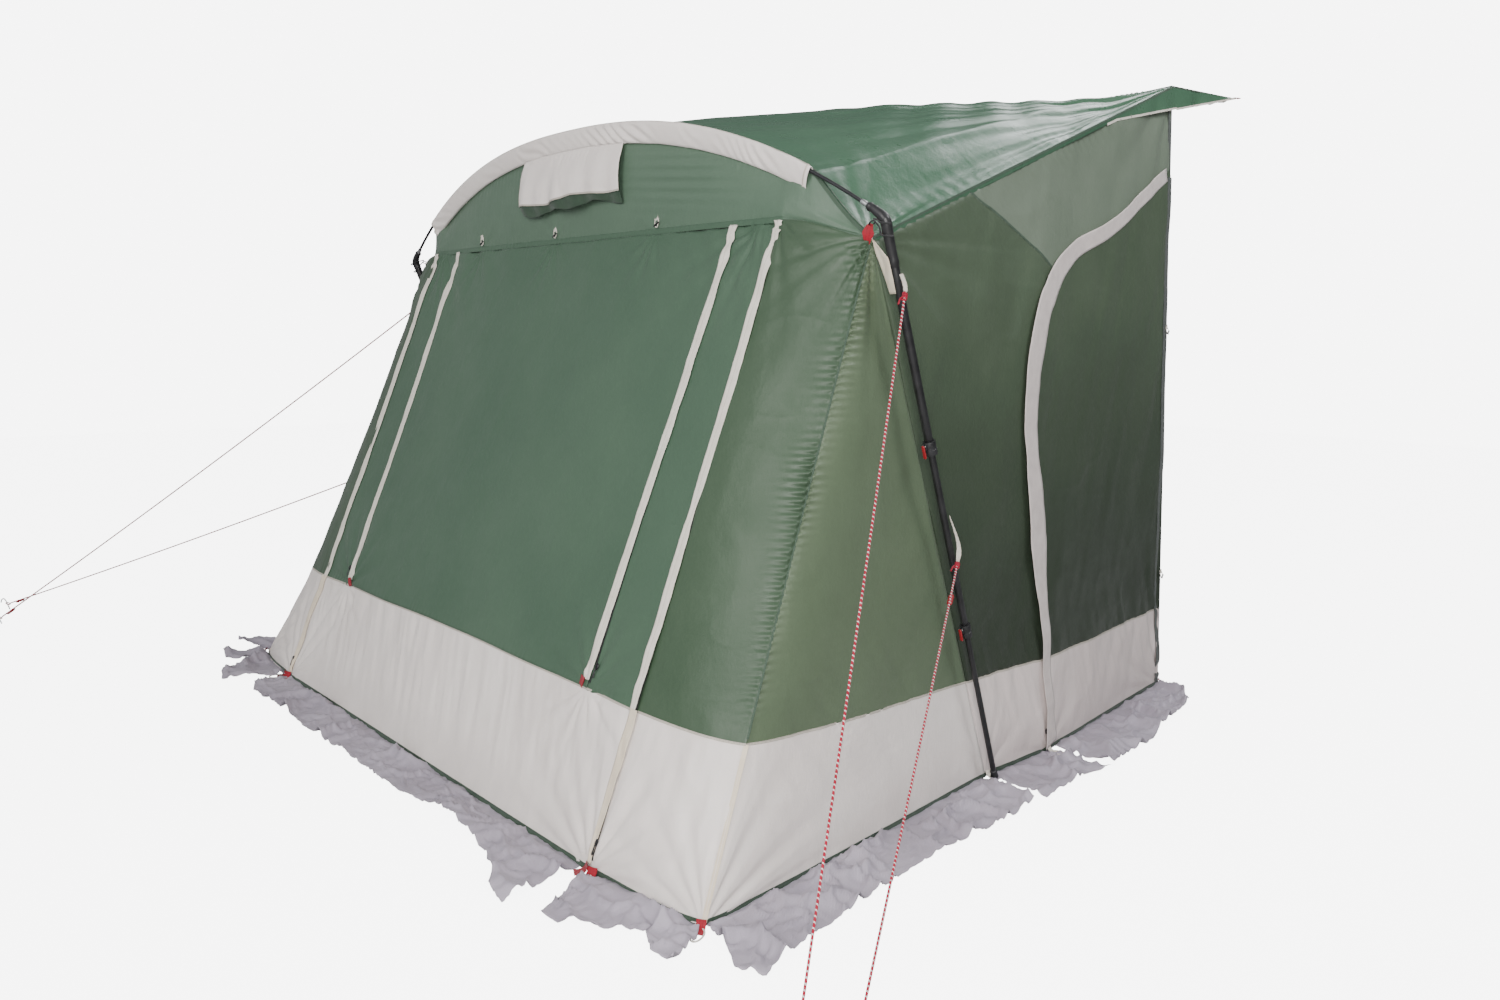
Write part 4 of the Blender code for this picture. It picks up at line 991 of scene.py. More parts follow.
def make_front_door():
    inner, outer = COVER_HALF_WIDTH - 0.004, DOOR_HALF_HEM
    xs = np.linspace(-1, 1, 300) * (DOOR_HALF_HEM - 0.002)
    rows = between(HEM_Z + 0 * xs, band_height(xs), 62)
    front_sheet("front_door_band", xs, rows, "beige", ["front_door_frame_right"], slot="beige_fabric")
    for side, label in SIDES:
        shares = np.linspace(0, 1, 34)
        grid, plain = [], []
        for t in np.linspace(0, 1, 190):
            z = lerp(band_height(outer), SEAM_Z - 0.003, t)
            xs = np.sort(lerp(inner, outer_zip_x(z) - 0.002, shares) * side)
            grid.append(FRONT.at(xs, z + 0 * xs))
            plain.append(front(xs, z + 0 * xs))
        strip = cloth_piece(
            f"front_door_frame_{label}", np.array(grid), "green", "front_door", slot="green_fabric",
            nodes=("front_door",) if side > 0 else (),
        )
    # Behind the window cover's head and foot: narrow strips that the net is sewn to.
    xs = np.linspace(-inner, inner, 160)
    frame_strips = (
        ("head", 1.672, SEAM_Z - 0.016, "green", "front_door_frame_right"),
        ("sill", 0.395, 0.440, "beige", "front_door_band"),
    )
    for part, low, high, material, neighbour in frame_strips:
        front_sheet(
            f"front_door_{part}", xs, np.linspace(low, high, 6), material, [neighbour], lift=-0.0060,
            slot=f"{material}_fabric",
        )
    net_wall = Wall(front, lambda p, a, b: front_folds(p, a, b) * 0.6 + billow(p, 0.4, 0.003, 30.0))
    front_sheet(
        "window_net", np.linspace(-inner, inner, 90), np.linspace(0.436, 1.676, 70), "net",
        ["front_door_head", "front_door_sill"], lift=-0.0085, wall=net_wall, slot="insect_mesh",
        nodes=("window_mesh",), thickness=NET_THICKNESS,
    )


def make_window_cover():
    xs = np.linspace(-1, 1, 230) * COVER_HALF_WIDTH
    rows = between(band_height(xs) + 0.002, COVER_TOP_Z, 170)
    front_sheet(
        "window_cover_cloth", xs, rows, "green", ["front_door_head"], COVER_BEND, 0.0025,
        slot="green_fabric", nodes=("window_cover",),
    )


def flap_grid(wall, line, half_width, lifts, wave, seed):
    """A tape sewn down one edge; its free edge waves a little. line gives (a, b)."""
    a, b = line
    across = np.linspace(-1, 1, 9)
    grid = []
    for k in range(len(a)):
        edge = wave * (wobble(b[k], 0.075, seed) + 0.5 * wobble(b[k], 0.030, seed + 2))
        middle = a[k] + 0.35 * edge
        over = middle + across * (half_width[k] + 0.5 * edge * (across < 0))
        lift = lifts[0] + (lifts[1] - lifts[0]) * (1 - across) / 2
        curl = 0.0016 * wobble(b[k], 0.05, seed + 5) * (1 - across) / 2
        grid.append(wall.at(over, b[k] + 0 * over, lift + curl))
    return np.array(grid)


def make_front_flaps():
    """Cream tapes over the four zips of the front."""
    for side, label in SIDES:
        z = np.linspace(0.430, SEAM_Z - 0.004, 170)
        x = lerp(0.876, 0.896, share(z, 0.42, SEAM_Z)) * side
        grid = flap_grid(FRONT, (x, z), 0.0165 + 0 * z, (0.0045, 0.0062), 0.0035 * side, 2.0 + side)
        cloth_piece(f"window_flap_{label}", grid, "flap", COVER_BEND, slot="beige_fabric")
        z = np.linspace(band_height(DOOR_HALF_HEM), SEAM_Z - 0.004, 180)
        x = (outer_zip_x(z) - 0.004) * side
        width = 0.0165 - 0.0050 * (1 - smooth(z, 0.40, 0.62))
        width = width - 0.0055 * np.exp(-(((z - 0.93) / 0.055) ** 2))
        grid = flap_grid(FRONT, (x, z), width, (0.0035, 0.0056), 0.0060 * side, 7.0 + side)
        cloth_piece(f"door_flap_{label}", grid, "flap", "front_door", slot="beige_fabric")
        z = np.linspace(0.020, band_height(DOOR_HALF_HEM) + 0.004, 60)
        x = (outer_zip_x(z) - 0.002 + 0.004 * share(z, 0.0, 0.2)) * side
        half_width = lerp(0.010, 0.0170, share(z, 0.02, 0.30))
        grid = flap_grid(FRONT, (x, z), half_width, (0.0040, 0.0056), 0.0030 * side, 17.0 + side)
        cloth_piece(f"door_flap_foot_{label}", grid, "foot_flap", "front_door", slot="beige_fabric")
        # Black zip tapes, seen where a flap stands off its zip; their black also paints the shadow line
        # beside each flap.
        z = np.linspace(0.425, 1.70, 120)
        window_tape = FRONT.at((0.8955 + 0 * z) * side, z, 0.0012)
        z = np.linspace(0.030, 1.70, 120)
        door_tape = FRONT.at((outer_zip_x(z) + 0.0085) * side, z, 0.0012)
        for part, path, body in (("window", window_tape, "front_door"), ("door", door_tape, "root")):
            band_piece(f"{part}_zip_tape_{label}", path, FRONT_FACING, 0.0075, 0.0010, "zip_tape", body)


def make_front_seams():
    xs = np.linspace(-1, 1, 240) * (DOOR_HALF_HEM - 0.004)
    seam = FRONT.at(xs, band_height(xs), 0.0006)
    band_piece("front_band_seam", seam, FRONT_FACING, *SEAM_TAPE, "beige_seam", "front_door")
    hem = FRONT.at(xs, 0 * xs + 0.0085, 0.0012)
    band_piece("front_hem_tape", hem, FRONT_FACING, *HEM_TAPE, "hem", "front_door")


# ---------------------------------------------------------------- rounded corner
def corner_roundness(z):
    return lerp(0.30, 0.95, smooth(z, 0.05, 0.75))


def corner_frame(z_front, z_seam, z_leg):
    """Points and directions where a row crosses the zip, the corner seam and the leg line."""
    first = front(outer_zip_x(z_front), z_front)
    middle = corner_seam(z_seam)
    last = fold_line(z_leg)
    over = unit(unit(middle - first) + unit(last - middle))
    return first, middle, last, over


def hermite(a, b, leave, arrive, t):
    t = t[..., None]
    return (
        (2 * t**3 - 3 * t**2 + 1) * a
        + (t**3 - 2 * t**2 + t) * leave
        + (-2 * t**3 + 3 * t**2) * b
        + (t**3 - t**2) * arrive
    )


def row_heights(b):
    """Heights at the zip, the seam and the leg line; b runs 0 to 1 over the band, then to 2."""
    band, upper = share(b, -9.0, 1.0) * 10 - 9, b - 1
    heights = []
    for low, high in (
        (BAND_Z["zip"], SEAM_Z), (BAND_Z["corner"], TIE_POINT[2]), (BAND_Z["leg"], TIE_POINT[2]),
    ):
        heights.append(np.where(b <= 1, lerp(0.0, low, band), lerp(low, high, upper)))
    return heights


def corner_base(a, b):
    z_front, z_seam, z_leg = row_heights(b)
    first, middle, _, over = corner_frame(z_front, z_seam, z_leg)
    chord = np.linalg.norm(middle - first, axis=-1, keepdims=True)
    k = corner_roundness(z_seam)[..., None]
    leave = lerp(middle - first, np.array((1.0, 0.0, 0.0)) * chord, k)
    arrive = lerp(middle - first, over * chord, k)
    return hermite(first, middle, leave, arrive, a)


def gore_base(a, b):
    z_front, z_seam, z_leg = row_heights(b)
    first, middle, last, over = corner_frame(z_front, z_seam, z_leg)
    chord = np.linalg.norm(last - middle, axis=-1, keepdims=True)
    turn = np.minimum(chord, 1.1 * np.linalg.norm(middle - first, axis=-1, keepdims=True))
    k = corner_roundness(z_seam)[..., None]
    leave = lerp(unit(last - middle) * turn, over * turn, k)
    return hermite(middle, last, leave, last - middle, a)


# Over this distance from the corner seam the folds die out, so both cloths meet there.
SEAM_HOLD = 0.010


def corner_folds(side):
    seed = 40.0 + 11 * side

    def folds(p, a, b):
        width = 0.30
        seam_away = (1 - a) * width
        total = billow(p, 0.45, 0.0060, seed) + billow(p, 0.12, 0.0016, seed + 1)
        total += creases(p, 0.25, 0.0016, seed + 9)
        total += gathers(p[..., 2], seam_away, 0.022, 0.0125, 0.021, seed + 2) * smooth(b, 1.0, 1.12)
        total += fan(p, TIE_POINT, (0.3, -0.9, 0.3), 0.34, 19.0, 0.0058, seed + 3)
        total += fan(p, HEM_CORNER, (0.3, -0.9, 0.3), 0.34, 19.0, 0.0095, seed + 4)
        total += fan(p, front(DOOR_HALF_HEM, 0.0), (0, -0.9, 0.3), 0.36, 17.0, 0.0085, seed + 5)
        total += fan(p, front(1.10, SEAM_Z), (0, -0.9, 0.3), 0.30, 12.0, 0.0045, seed + 6)
        total += gathers(a * width, (b - 1) * 0.4, 0.026, 0.0012, 0.018, seed + 7)
        band = smooth(1 - b, 0.0, 0.05) * (1 - smooth(1 - b, 0.55, 0.95))
        total += band * streaks(a * width, p[..., 2], 0.036, 0.0050, seed + 8)
        edge = smooth(a * width, 0.0, 0.02) * 0.8 + 0.2
        return total * edge * smooth(seam_away, 0.0, SEAM_HOLD) * (0.3 + 0.7 * smooth(b, 0.0, 0.12))

    return folds


def gore_folds(side):
    seed = 60.0 + 11 * side

    def folds(p, a, b):
        width = np.linalg.norm(fold_line(p[..., 2]) - corner_seam(p[..., 2]), axis=-1)
        seam_away = a * width
        total = billow(p, 0.55, 0.0070, seed) + billow(p, 0.13, 0.0016, seed + 1)
        total += creases(p, 0.28, 0.0018, seed + 9)
        total += gathers(p[..., 2], seam_away, 0.022, 0.0125, 0.021, seed + 2) * smooth(b, 1.0, 1.12)
        total += fan(p, TIE_POINT, (1.0, 0.1, 0.0), 0.42, 19.0, 0.0064, seed + 3)
        total += fan(p, HEM_CORNER, (1.0, 0.1, 0.0), 0.40, 19.0, 0.0090, seed + 4)
        total += fan(p, HEM_AT_LEG, (1.0, 0.1, 0.0), 0.30, 10.0, 0.0040, seed + 5)
        total += gathers(p[..., 1], p[..., 2] - 0.36, 0.030, 0.0012, 0.020, seed + 7)
        slack = smooth(b, 0.1, 0.8) * (1 - smooth(b, 1.0, 1.25))
        slack = slack * smooth(a, 0.15, 0.4) * (1 - smooth(a, 0.6, 0.9))
        total += slack * streaks(p[..., 1] + 0.7 * p[..., 2], p[..., 2], 0.040, 0.0060, seed + 8)
        held = smooth(1 - a, 0.0, 0.04) * smooth(seam_away, 0.0, SEAM_HOLD)
        return total * (0.3 + 0.7 * smooth(b, 0.0, 0.10)) * held

    return folds


def wall_piece(name, wall, columns, rows, material, body, side, slot, nodes=()):
    a, b = np.meshgrid(columns, rows)
    piece = cloth_piece(name, wall.at(a, b), material, body, side, slot, nodes)
    wall.base(a, b)
    return piece


def make_corners():
    for side, label in SIDES:
        corner, gore = Wall(corner_base, corner_folds(side)), Wall(gore_base, gore_folds(side))
        rows, low_rows = np.linspace(1.0, 1.998, 360), np.linspace(0.012, 1.0, 90)
        panels = (
            # The front corner cloth uses the darker copy of the green, painted shade.
            ("front_corner", corner, crowded(52, 0.3, 1.6), "corner", (f"front_corner_{label}",)),
            # The gore cloth uses the lighter copy of the green, painted light.
            ("gore", gore, crowded(76, 1.6, 0.1), "gore", ()),
        )
        for part, wall, columns, green, nodes in panels:
            wall_piece(
                f"{part}_cloth_{label}", wall, columns, rows, green, "root", side, "green_fabric", nodes
            )
            wall_piece(
                f"{part}_band_{label}", wall, columns, low_rows, "beige", "root", side, "beige_fabric", (),
            )
        # Seams: the taped corner, the band seam and the hem tape round both panels.
        outward = unit(np.array((0.7, -0.7, 0.2)))
        low, high, a = np.linspace(0.03, 1.0, 90), np.linspace(1.01, 1.985, 260), np.linspace(0.01, 1.0, 70)
        hem = np.vstack([corner.at(a, 0 * a + 0.024, 0.0012)[:-1], gore.at(a, 0 * a + 0.024, 0.0012)])
        seams = (
            ("corner_tape", gore.at(0 * low + 0.002, low, 0.0012), outward, (0.014, 0.0016), "foot_flap"),
            ("corner_seam", gore.at(0 * high + 0.001, high, 0.0006), outward, (0.0065, 0.0012), "seam"),
            (
                "corner_band_seam", corner.at(a, 0 * a + 1.0, 0.0006), (0.1, -0.92, 0.3), SEAM_TAPE,
                "beige_seam",
            ),
            ("gore_band_seam", gore.at(a, 0 * a + 1.0, 0.0006), (1, 0, 0.1), SEAM_TAPE, "beige_seam"),
            ("corner_hem_tape", hem, unit(hem * (1, 1, 0)), HEM_TAPE, "hem"),
        )
        for name, line, facing, size, material in seams:
            band_piece(f"{name}_{label}", line, facing, *size, material, "root", side)


# ---------------------------------------------------------------- side wall and door
ROOF_LINE_END = ROOF_PEAK + (-0.007, 0.0, -0.016)
ROOF_LINE_START = TIE_POINT + (-0.003, 0.0, -0.006)


def outer_line(b):
    """Up the leg line, then along the roof seam to the rear peak; b from 0 to 2."""
    leg_part = 1.42
    band = lerp(0.0, BAND_Z["leg"], share(b, -9.0, 1.0) * 10 - 9)
    climb = lerp(BAND_Z["leg"], TIE_POINT[2], share(b, 1.0, leg_part))
    low = fold_line(np.where(b <= 1, band, climb))
    high = lerp(ROOF_LINE_START, ROOF_LINE_END, share(b, leg_part, 2.0)[..., None])
    return np.where((b > leg_part)[..., None], high, low)


def zip_height(b):
    rise = lerp(BAND_Z["door"], SIDE_ZIP_YZ[-1][1], share(b, 1.0, 2.0) ** 0.92)
    return np.where(b <= 1, lerp(0.0, BAND_Z["door"], share(b, -9.0, 1.0) * 10 - 9), rise)


def side_base(a, b):
    return lerp(outer_line(b), side_zip(zip_height(b)), a[..., None])


def door_base(a, b):
    rear_z = np.where(
        b <= 1, lerp(0.0, BAND_Z["rear"], share(b, -9.0, 1.0) * 10 - 9),
        lerp(BAND_Z["rear"], SIDE_ZIP_YZ[-1][1] - 0.020, share(b, 1.0, 2.0)),
    )
    return lerp(side_zip(zip_height(b)), rear_edge(rear_z), a[..., None])


def side_folds(side, door=False):
    seed = 90.0 + 13 * side

    def folds(p, a, b):
        facing = (1.0, 0.2, 0.0)
        along = unit(ROOF_LINE_END - ROOF_LINE_START)
        from_seam = np.linalg.norm(np.cross(p - ROOF_LINE_START, along), axis=-1)
        total = billow(p, 0.60, 0.0085, seed) + billow(p, 0.14, 0.0018, seed + 1)
        total += creases(p, 0.30, 0.0020, seed + 9)
        total += fan(p, TIE_POINT, facing, 0.42, 21.0, 0.0052, seed + 2)
        total += fan(p, ROOF_PEAK, facing, 0.60, 15.0, 0.0085, seed + 3)
        total += gathers(dot(p, along) - 0.5 * from_seam, from_seam, 0.046, 0.0070, 0.050, seed + 4)
        total += fan(p, HEM_REAR, facing, 0.50, 17.0, 0.0090, seed + 5)
        total += fan(p, HEM_AT_SIDE_ZIP, facing, 0.24, 11.0, 0.0045, seed + 6)
        total += fan(p, HEM_AT_LEG, facing, 0.24, 11.0, 0.0040, seed + 7)
        band_z = lerp(BAND_Z["leg"], BAND_Z["rear"], share(p[..., 1], 0.0, 1.37))
        total += gathers(p[..., 1], p[..., 2] - band_z, 0.032, 0.0016, 0.020, seed + 8)
        slack = 1 - smooth(np.abs(p[..., 2] - band_z), 0.05, 0.30)
        total += slack * streaks(p[..., 1] + 0.4 * p[..., 2], p[..., 2], 0.050, 0.0062, seed + 9)
        total += streaks(p[..., 1] * 0.9 - p[..., 2] * 0.35, p[..., 2], 0.12, 0.0055, seed + 10)
        held = smooth(1 - a, 0.0, 0.02) if door else smooth(a, 0.0, 0.02)
        return total * (0.3 + 0.7 * smooth(p[..., 2], 0.0, 0.05)) * held

    return folds


def make_sides():
    for side, label in SIDES:
        wall, door = Wall(side_base, side_folds(side)), Wall(door_base, side_folds(side, True))
        rows, low_rows = np.linspace(1.0, 2.0, 230), np.linspace(0.014, 1.0, 50)
        body = f"side_door_{label}"
        panels = (
            ("side_wall", wall, np.linspace(0.0, 0.996, 70), "root", f"side_wall_{label}"),
            ("side_door", door, np.linspace(0.004, 1.0, 90), body, body),
        )
        for part, surface, columns, owner, node in panels:
            # The side wall and door cloths use the darker side copy of the green, painted shade.
            cloth = wall_piece(
                f"{part}_cloth_{label}", surface, columns, rows, "side", owner, side, "green_fabric",
                (node,),
            )
            if surface is wall:
                paint_panel(cloth, columns, rows, side)
            # The side bands use the darker beige copy, painted shade.
            wall_piece(
                f"{part}_band_{label}", surface, columns, low_rows, "side_beige", owner, side,
                "beige_fabric", (),
            )
        make_side_flap(side, label, door, body)
        a, b = np.linspace(0.0, 0.99, 60), np.linspace(0.03, 1.99, 150)
        width = np.linalg.norm(door_base(0 * b, b) - door_base(0 * b + 1, b), axis=-1)
        rear = door.at(1 - np.minimum(0.022 / width, 0.5), b, 0.0014)
        top = rear_edge(lerp(2.010, 2.325, np.linspace(0.0, 1.0, 30))) + (0.004, -0.017, 0.0)
        tapes = (
            ("side_band_seam", wall.at(a, 0 * a + 1.0, 0.0006), SEAM_TAPE, "beige_seam", "root"),
            ("side_door_band_seam", door.at(a, 0 * a + 1.0, 0.0006), SEAM_TAPE, "beige_seam", body),
            ("side_hem_tape", wall.at(a, 0 * a + 0.028, 0.0012), HEM_TAPE, "hem", "root"),
            ("side_door_hem_tape", door.at(a, 0 * a + 0.028, 0.0012), HEM_TAPE, "hem", body),
            ("rear_edge_tape", rear, (0.040, 0.0016), "edge_tape", body),
            ("rear_top_tape", top, (0.036, 0.0016), "edge_tape", "root"),
        )
        for name, line, size, material, owner in tapes:
            band_piece(f"{name}_{label}", line, SIDE_FACING, *size, material, owner, side)
        make_panel_seam(side, label, wall)


PANEL_SEAM = ((0.0, 1.565), (0.97, 1.725))


def paint_panel(cloth, columns, rows, side):
    """The cloth over the panel seam is a lighter grey green."""
    a, b = np.meshgrid((columns[1:] + columns[:-1]) / 2, (rows[1:] + rows[:-1]) / 2)
    over = b > np.interp(a, *zip(*PANEL_SEAM))
    if side < 0:
        over = over[:, ::-1]
    cloth.data.materials.append(MATERIALS["panel"])
    cloth.data.polygons.foreach_set("material_index", over.ravel().astype(np.int32))


def make_panel_seam(side, label, wall):
    """A sewn joint that runs from the roof seam down to the side zip."""
    a = np.linspace(0, PANEL_SEAM[1][0], 60)
    b = np.interp(a, *zip(*PANEL_SEAM))
    line = wall.at(a, b, 0.0006)
    band_piece(f"panel_seam_{label}", line, SIDE_FACING, *SEAM_TAPE, "seam", "root", side)


# Half the side flap's width at heights along the zip.
FLAP_HALF = (
    (0.0, 0.046), (0.12, 0.032), (0.40, 0.032), (0.53, 0.036), (0.61, 0.045), (0.72, 0.059),
    (0.87, 0.056), (1.03, 0.045), (1.38, 0.057), (1.55, 0.050), (1.68, 0.034), (1.80, 0.028),
    (2.04, 0.026),
)


def make_side_flap(side, label, door, body):
    """The beige tape over the side door's zip: narrow above, wide at hip height."""
    b = np.concatenate([np.linspace(0.06, 1.0, 40)[:-1], np.linspace(1.0, 1.985, 170)])
    z = zip_height(b)
    half = np.interp(z, *zip(*FLAP_HALF))
    middle = door.at(0 * b + 0.004, b, 0.0050)
    along = unit(np.gradient(middle, axis=0))
    facing = door.normal(0 * b + 0.004, b)
    across = unit(np.cross(facing, along))
    grid = []
    for offset in np.linspace(1, -1, 9):
        edge = 0.0040 * wobble(np.arange(len(b)) * 0.008, 0.06, 3.0 + side + (offset > 0) * 4)
        reach = (half + edge) * offset
        ripple = 0.0016 * wobble(np.arange(len(b)) * 0.008, 0.05, 23.0 + side) + 0.0020 * (1 + offset)
        grid.append(middle + across * reach[:, None] + facing * ripple[:, None])
    grid = np.array(grid).transpose(1, 0, 2)
    cloth_piece(f"side_flap_{label}", grid, "side_flap", body, side, "beige_fabric")


make_front_door()
make_window_cover()
make_front_flaps()
make_front_seams()
make_corners()
make_sides()


# ---------------------------------------------------------------- roof and arch
ROOF_CROWN = 0.045
FLAP_END = 1.24  # the roof's b at the end of the flap


def roof_base(a, b):
    """a runs from -1 to 1 across the roof; b from 0 at the arch to 1 at the rear peaks."""
    half = TIE_POINT[0] - 0.003
    start = roof_front_edge(a * half)
    end = vec(a * ROOF_PEAK[0], ROOF_PEAK[1], ROOF_PEAK[2])
    along = share(b)[..., None]
    crown = ROOF_CROWN * np.sin(math.pi * share(b) ** 1.2) * np.clip(1 - np.abs(a) ** 2.2, 0, None)
    sag = -0.030 * np.exp(-(((b - 1.0) / 0.35) ** 2)) * np.clip(1 - np.abs(a) ** 1.6, 0, None)
    beyond = np.clip(b - 1, -0.02, None) / (FLAP_END - 1)
    beyond = np.where(b > 1, beyond, 0.0)
    flap = vec(0 * a, FLAP_LENGTH * beyond, FLAP_RISE * beyond)
    point = lerp(start, end, along) + flap
    point[..., 2] += crown * (b < 1) + sag
    return point


def roof_folds(p, a, b):
    side = np.where(a < 0, -1.0, 1.0)
    q = p * np.stack([side, 1 + 0 * side, 1 + 0 * side], axis=-1)
    up = (0.0, -0.1, 1.0)
    total = billow(p, 0.75, 0.0090, 110.0) + billow(p, 0.17, 0.0014, 111.0)
    total += fan(q, ROOF_PEAK, up, 1.45, 26.0, 0.0105, 112.0) * (1 - smooth(b, 0.98, 1.02))
    total += fan(q, ROOF_PEAK, up, 1.1, 47.0, 0.0072, 113.0)
    near_side = smooth(np.abs(a), 0.1, 0.75)
    total += near_side * fan(q, ROOF_PEAK, up, 1.9, 96.0, 0.0060, 115.0) * (b < 1)
    total += fan(q, TIE_POINT, (0.6, 0.0, 0.8), 0.45, 15.0, 0.0060, 114.0)
    total += gathers(p[..., 0], b * 2.0, 0.040, 0.0030, 0.050, 116.0) * (b < 0.2)
    from_side = (1 - np.abs(a)) * 1.1
    total += gathers(b * 2.1, from_side, 0.060, 0.0018, 0.030, 117.0) * np.where(a < 0, 1.1, 0.9)
    total += np.where(b > 1, pleats(p[..., 0], p[..., 1], 0.21, 0.0055, 118.0), 0.0)
    total += pleats(p[..., 0] + 0.8 * p[..., 1], p[..., 1], 0.24, 0.0055, 119.0) * smooth(b, 0.05, 0.4)
    held = smooth(b, 0.0, 0.05) * smooth(1 - np.abs(a), 0.0, 0.02)
    return total * held * (0.3 + 0.7 * smooth(np.abs(b - 1), 0.0, 0.03))


ROOF = Wall(roof_base, roof_folds)


def make_roof():
    a = np.concatenate([-crowded(150, 0.0, 0.8)[::-1], crowded(150, 0.0, 0.8)[1:]])
    b = np.concatenate([np.linspace(0.0, 1.0, 210), np.linspace(1.0, FLAP_END, 42)[1:]])
    a, b = np.meshgrid(a, b)
    roof = cloth_piece(
        "roof_cloth", ROOF.at(a, b), "roof", "root", 1, "green_fabric", ("roof",), HEAVY_THICKNESS,
    )
    ROOF.base(a, b)
    for side, label in SIDES:
        make_valance(side, label)
    x = np.linspace(-1, 1, 160)
    edge = ROOF.at(x, 0 * x + FLAP_END - 0.004, 0.0010)
    band_piece("flap_rear_hem", edge, UPWARD, 0.016, 0.0020, "seam", "root")
    rear = ROOF.at(x, 0 * x + 1.0, 0.0006)
    band_piece("roof_rear_seam", rear, UPWARD, 0.010, 0.0014, "seam", "root")
    x = np.linspace(-0.996, 0.996, 240)
    edge = ROOF.at(x, 0 * x + 0.006, 0.0010)
    band_piece("roof_front_seam", edge, UPWARD, 0.009, 0.0014, "seam", "root")


def make_valance(side, label):
    """A short skirt of cloth under the roof's edge; it widens towards the rear peak."""
    b = np.concatenate([np.linspace(0.002, 1.0, 170), np.linspace(1.0, FLAP_END, 40)[1:]])
    edge = ROOF.at(0 * b + 0.9985, b)
    drop = 0.020 + (VALANCE_DROP - 0.020) * share(b, VALANCE_START, 1.0)
    drop = np.where(b > 1, VALANCE_DROP * (1 - share(b, 1.0, FLAP_END)) + 0.004, drop)
    grid = []
    for t in np.linspace(1, 0, 14):
        out = 0.0050 + 0.012 * t * smooth(b, 0.7, 1.0) * (1 + 0.8 * wobble(b, 0.035, 31.0 + side))
        grid.append(edge + vec(out, 0 * b, -drop * t))
    cloth_piece(f"valance_{label}", np.array(grid), "roof", "root", side, "green_fabric")
    low = grid[0][b > VALANCE_START - 0.04]
    band_piece(f"valance_hem_{label}", low, (1, 0, 0), 0.0095, 0.0018, "cream", "root", side)
    top = grid[-1] + (0.0012, 0.0, -0.004)
    band_piece(
        f"roof_side_seam_{label}", top[: len(low) * 3], (1, 0, 0), 0.007, 0.0014, "seam", "root", side,
    )
    tip = grid[0][-1]
    path = [tip + (-0.012, -0.010, 0.0), tip + (0.002, 0.008, 0.001), tip + (0.004, 0.022, 0.000)]
    band_piece(
        f"flap_tip_tab_{label}", curve_through(path, 10), UPWARD, 0.016, 0.0022, "red", "root", side,
    )


def make_sleeve():
    """A cloth tunnel over the arch; its slack gathers in slanting puckers."""
    count, sides = 420, 28
    xs = SLEEVE_END_X * np.linspace(-1, 1, count)
    path = arch_point(xs)
    along_m = lengths_along(path)
    up, _ = path_frames(path, (0.0, ARCH_LEAN, 1.0))
    out = np.cross(unit(np.gradient(path, axis=0)), up)
    half = (SLEEVE_OVER + SLEEVE_UNDER) / 2
    middle = path - up * (SLEEVE_UNDER - half)
    turn = np.linspace(0, 2 * math.pi, sides, endpoint=False)
    high, painted_low_shade = np.cos(turn), np.sin(turn)
    slant = along_m[:, None] / 0.060 + 0.85 * high[None, :]
    slant = slant + 0.9 * wobble(along_m, 0.17, 5.0)[:, None]
    patch = 0.45 + 0.7 * wobble(along_m, 0.16, 8.0)[:, None]
    pucker = 0.0075 * patch * np.sin(2 * math.pi * slant) * (1 - 0.75 * high[None, :] ** 8)
    rim = half + 0.0012 * wobble(along_m, 0.07, 3.0)
    ring = up[:, None] * (high[None, :] * rim[:, None])[..., None]
    # The cloth never goes through the rod inside it.
    above_rod = high[None, :] * rim[:, None] + half - SLEEVE_UNDER
    room = 0.0068 * np.exp(-((above_rod / 0.0085) ** 4))
    depth = np.maximum((0.0095 * np.abs(painted_low_shade) ** 0.8)[None, :] + pucker * np.abs(painted_low_shade)[None, :], room)
    depth = depth * np.sign(np.round(painted_low_shade, 9))[None, :]
    ring = ring + out[:, None] * depth[..., None]
    verts = (middle[:, None] + ring).reshape(-1, 3)
    around = np.tile(turn / (2 * math.pi) * 0.16, count)
    uvs = np.stack([around, np.repeat(along_m, sides)], axis=-1)
    faces = [face[::-1] for face in grid_faces(count, sides, closed=True)]
    piece = new_mesh("sleeve_cloth", place(verts), faces, "beige", uvs)
    solid = piece.modifiers.new("cloth thickness", "SOLIDIFY")
    solid.thickness = HEAVY_THICKNESS
    solid.offset = -1.0
    finish_piece(piece, "root", "beige_fabric", ("arch_sleeve",))
    for name, drop, width in (("top", -SLEEVE_OVER, 0.0060), ("bottom", SLEEVE_UNDER - 0.003, 0.0070)):
        line = (path - up * drop)[2:-2]
        facing = (up if name == "top" else -out)[2:-2]
        lifted = line + facing * (0.0008 if name == "top" else 0.0045)
        band_piece(f"sleeve_{name}_seam", lifted, facing, width, 0.0013, "beige_seam", "root")
    for side, label in SIDES:
        ends = ring_points(mirrored(middle[-3], side), mirrored(up[-3], side) * 0.036, (0, 0.0125, 0), 1.0)
        swept_piece(
            f"sleeve_cuff_{label}", ends, 0.0016, "beige_seam", "root", sides=8, reference=(1, 0, 0),
        )


UPPER_REACH = TIE_POINT[0] - 0.006


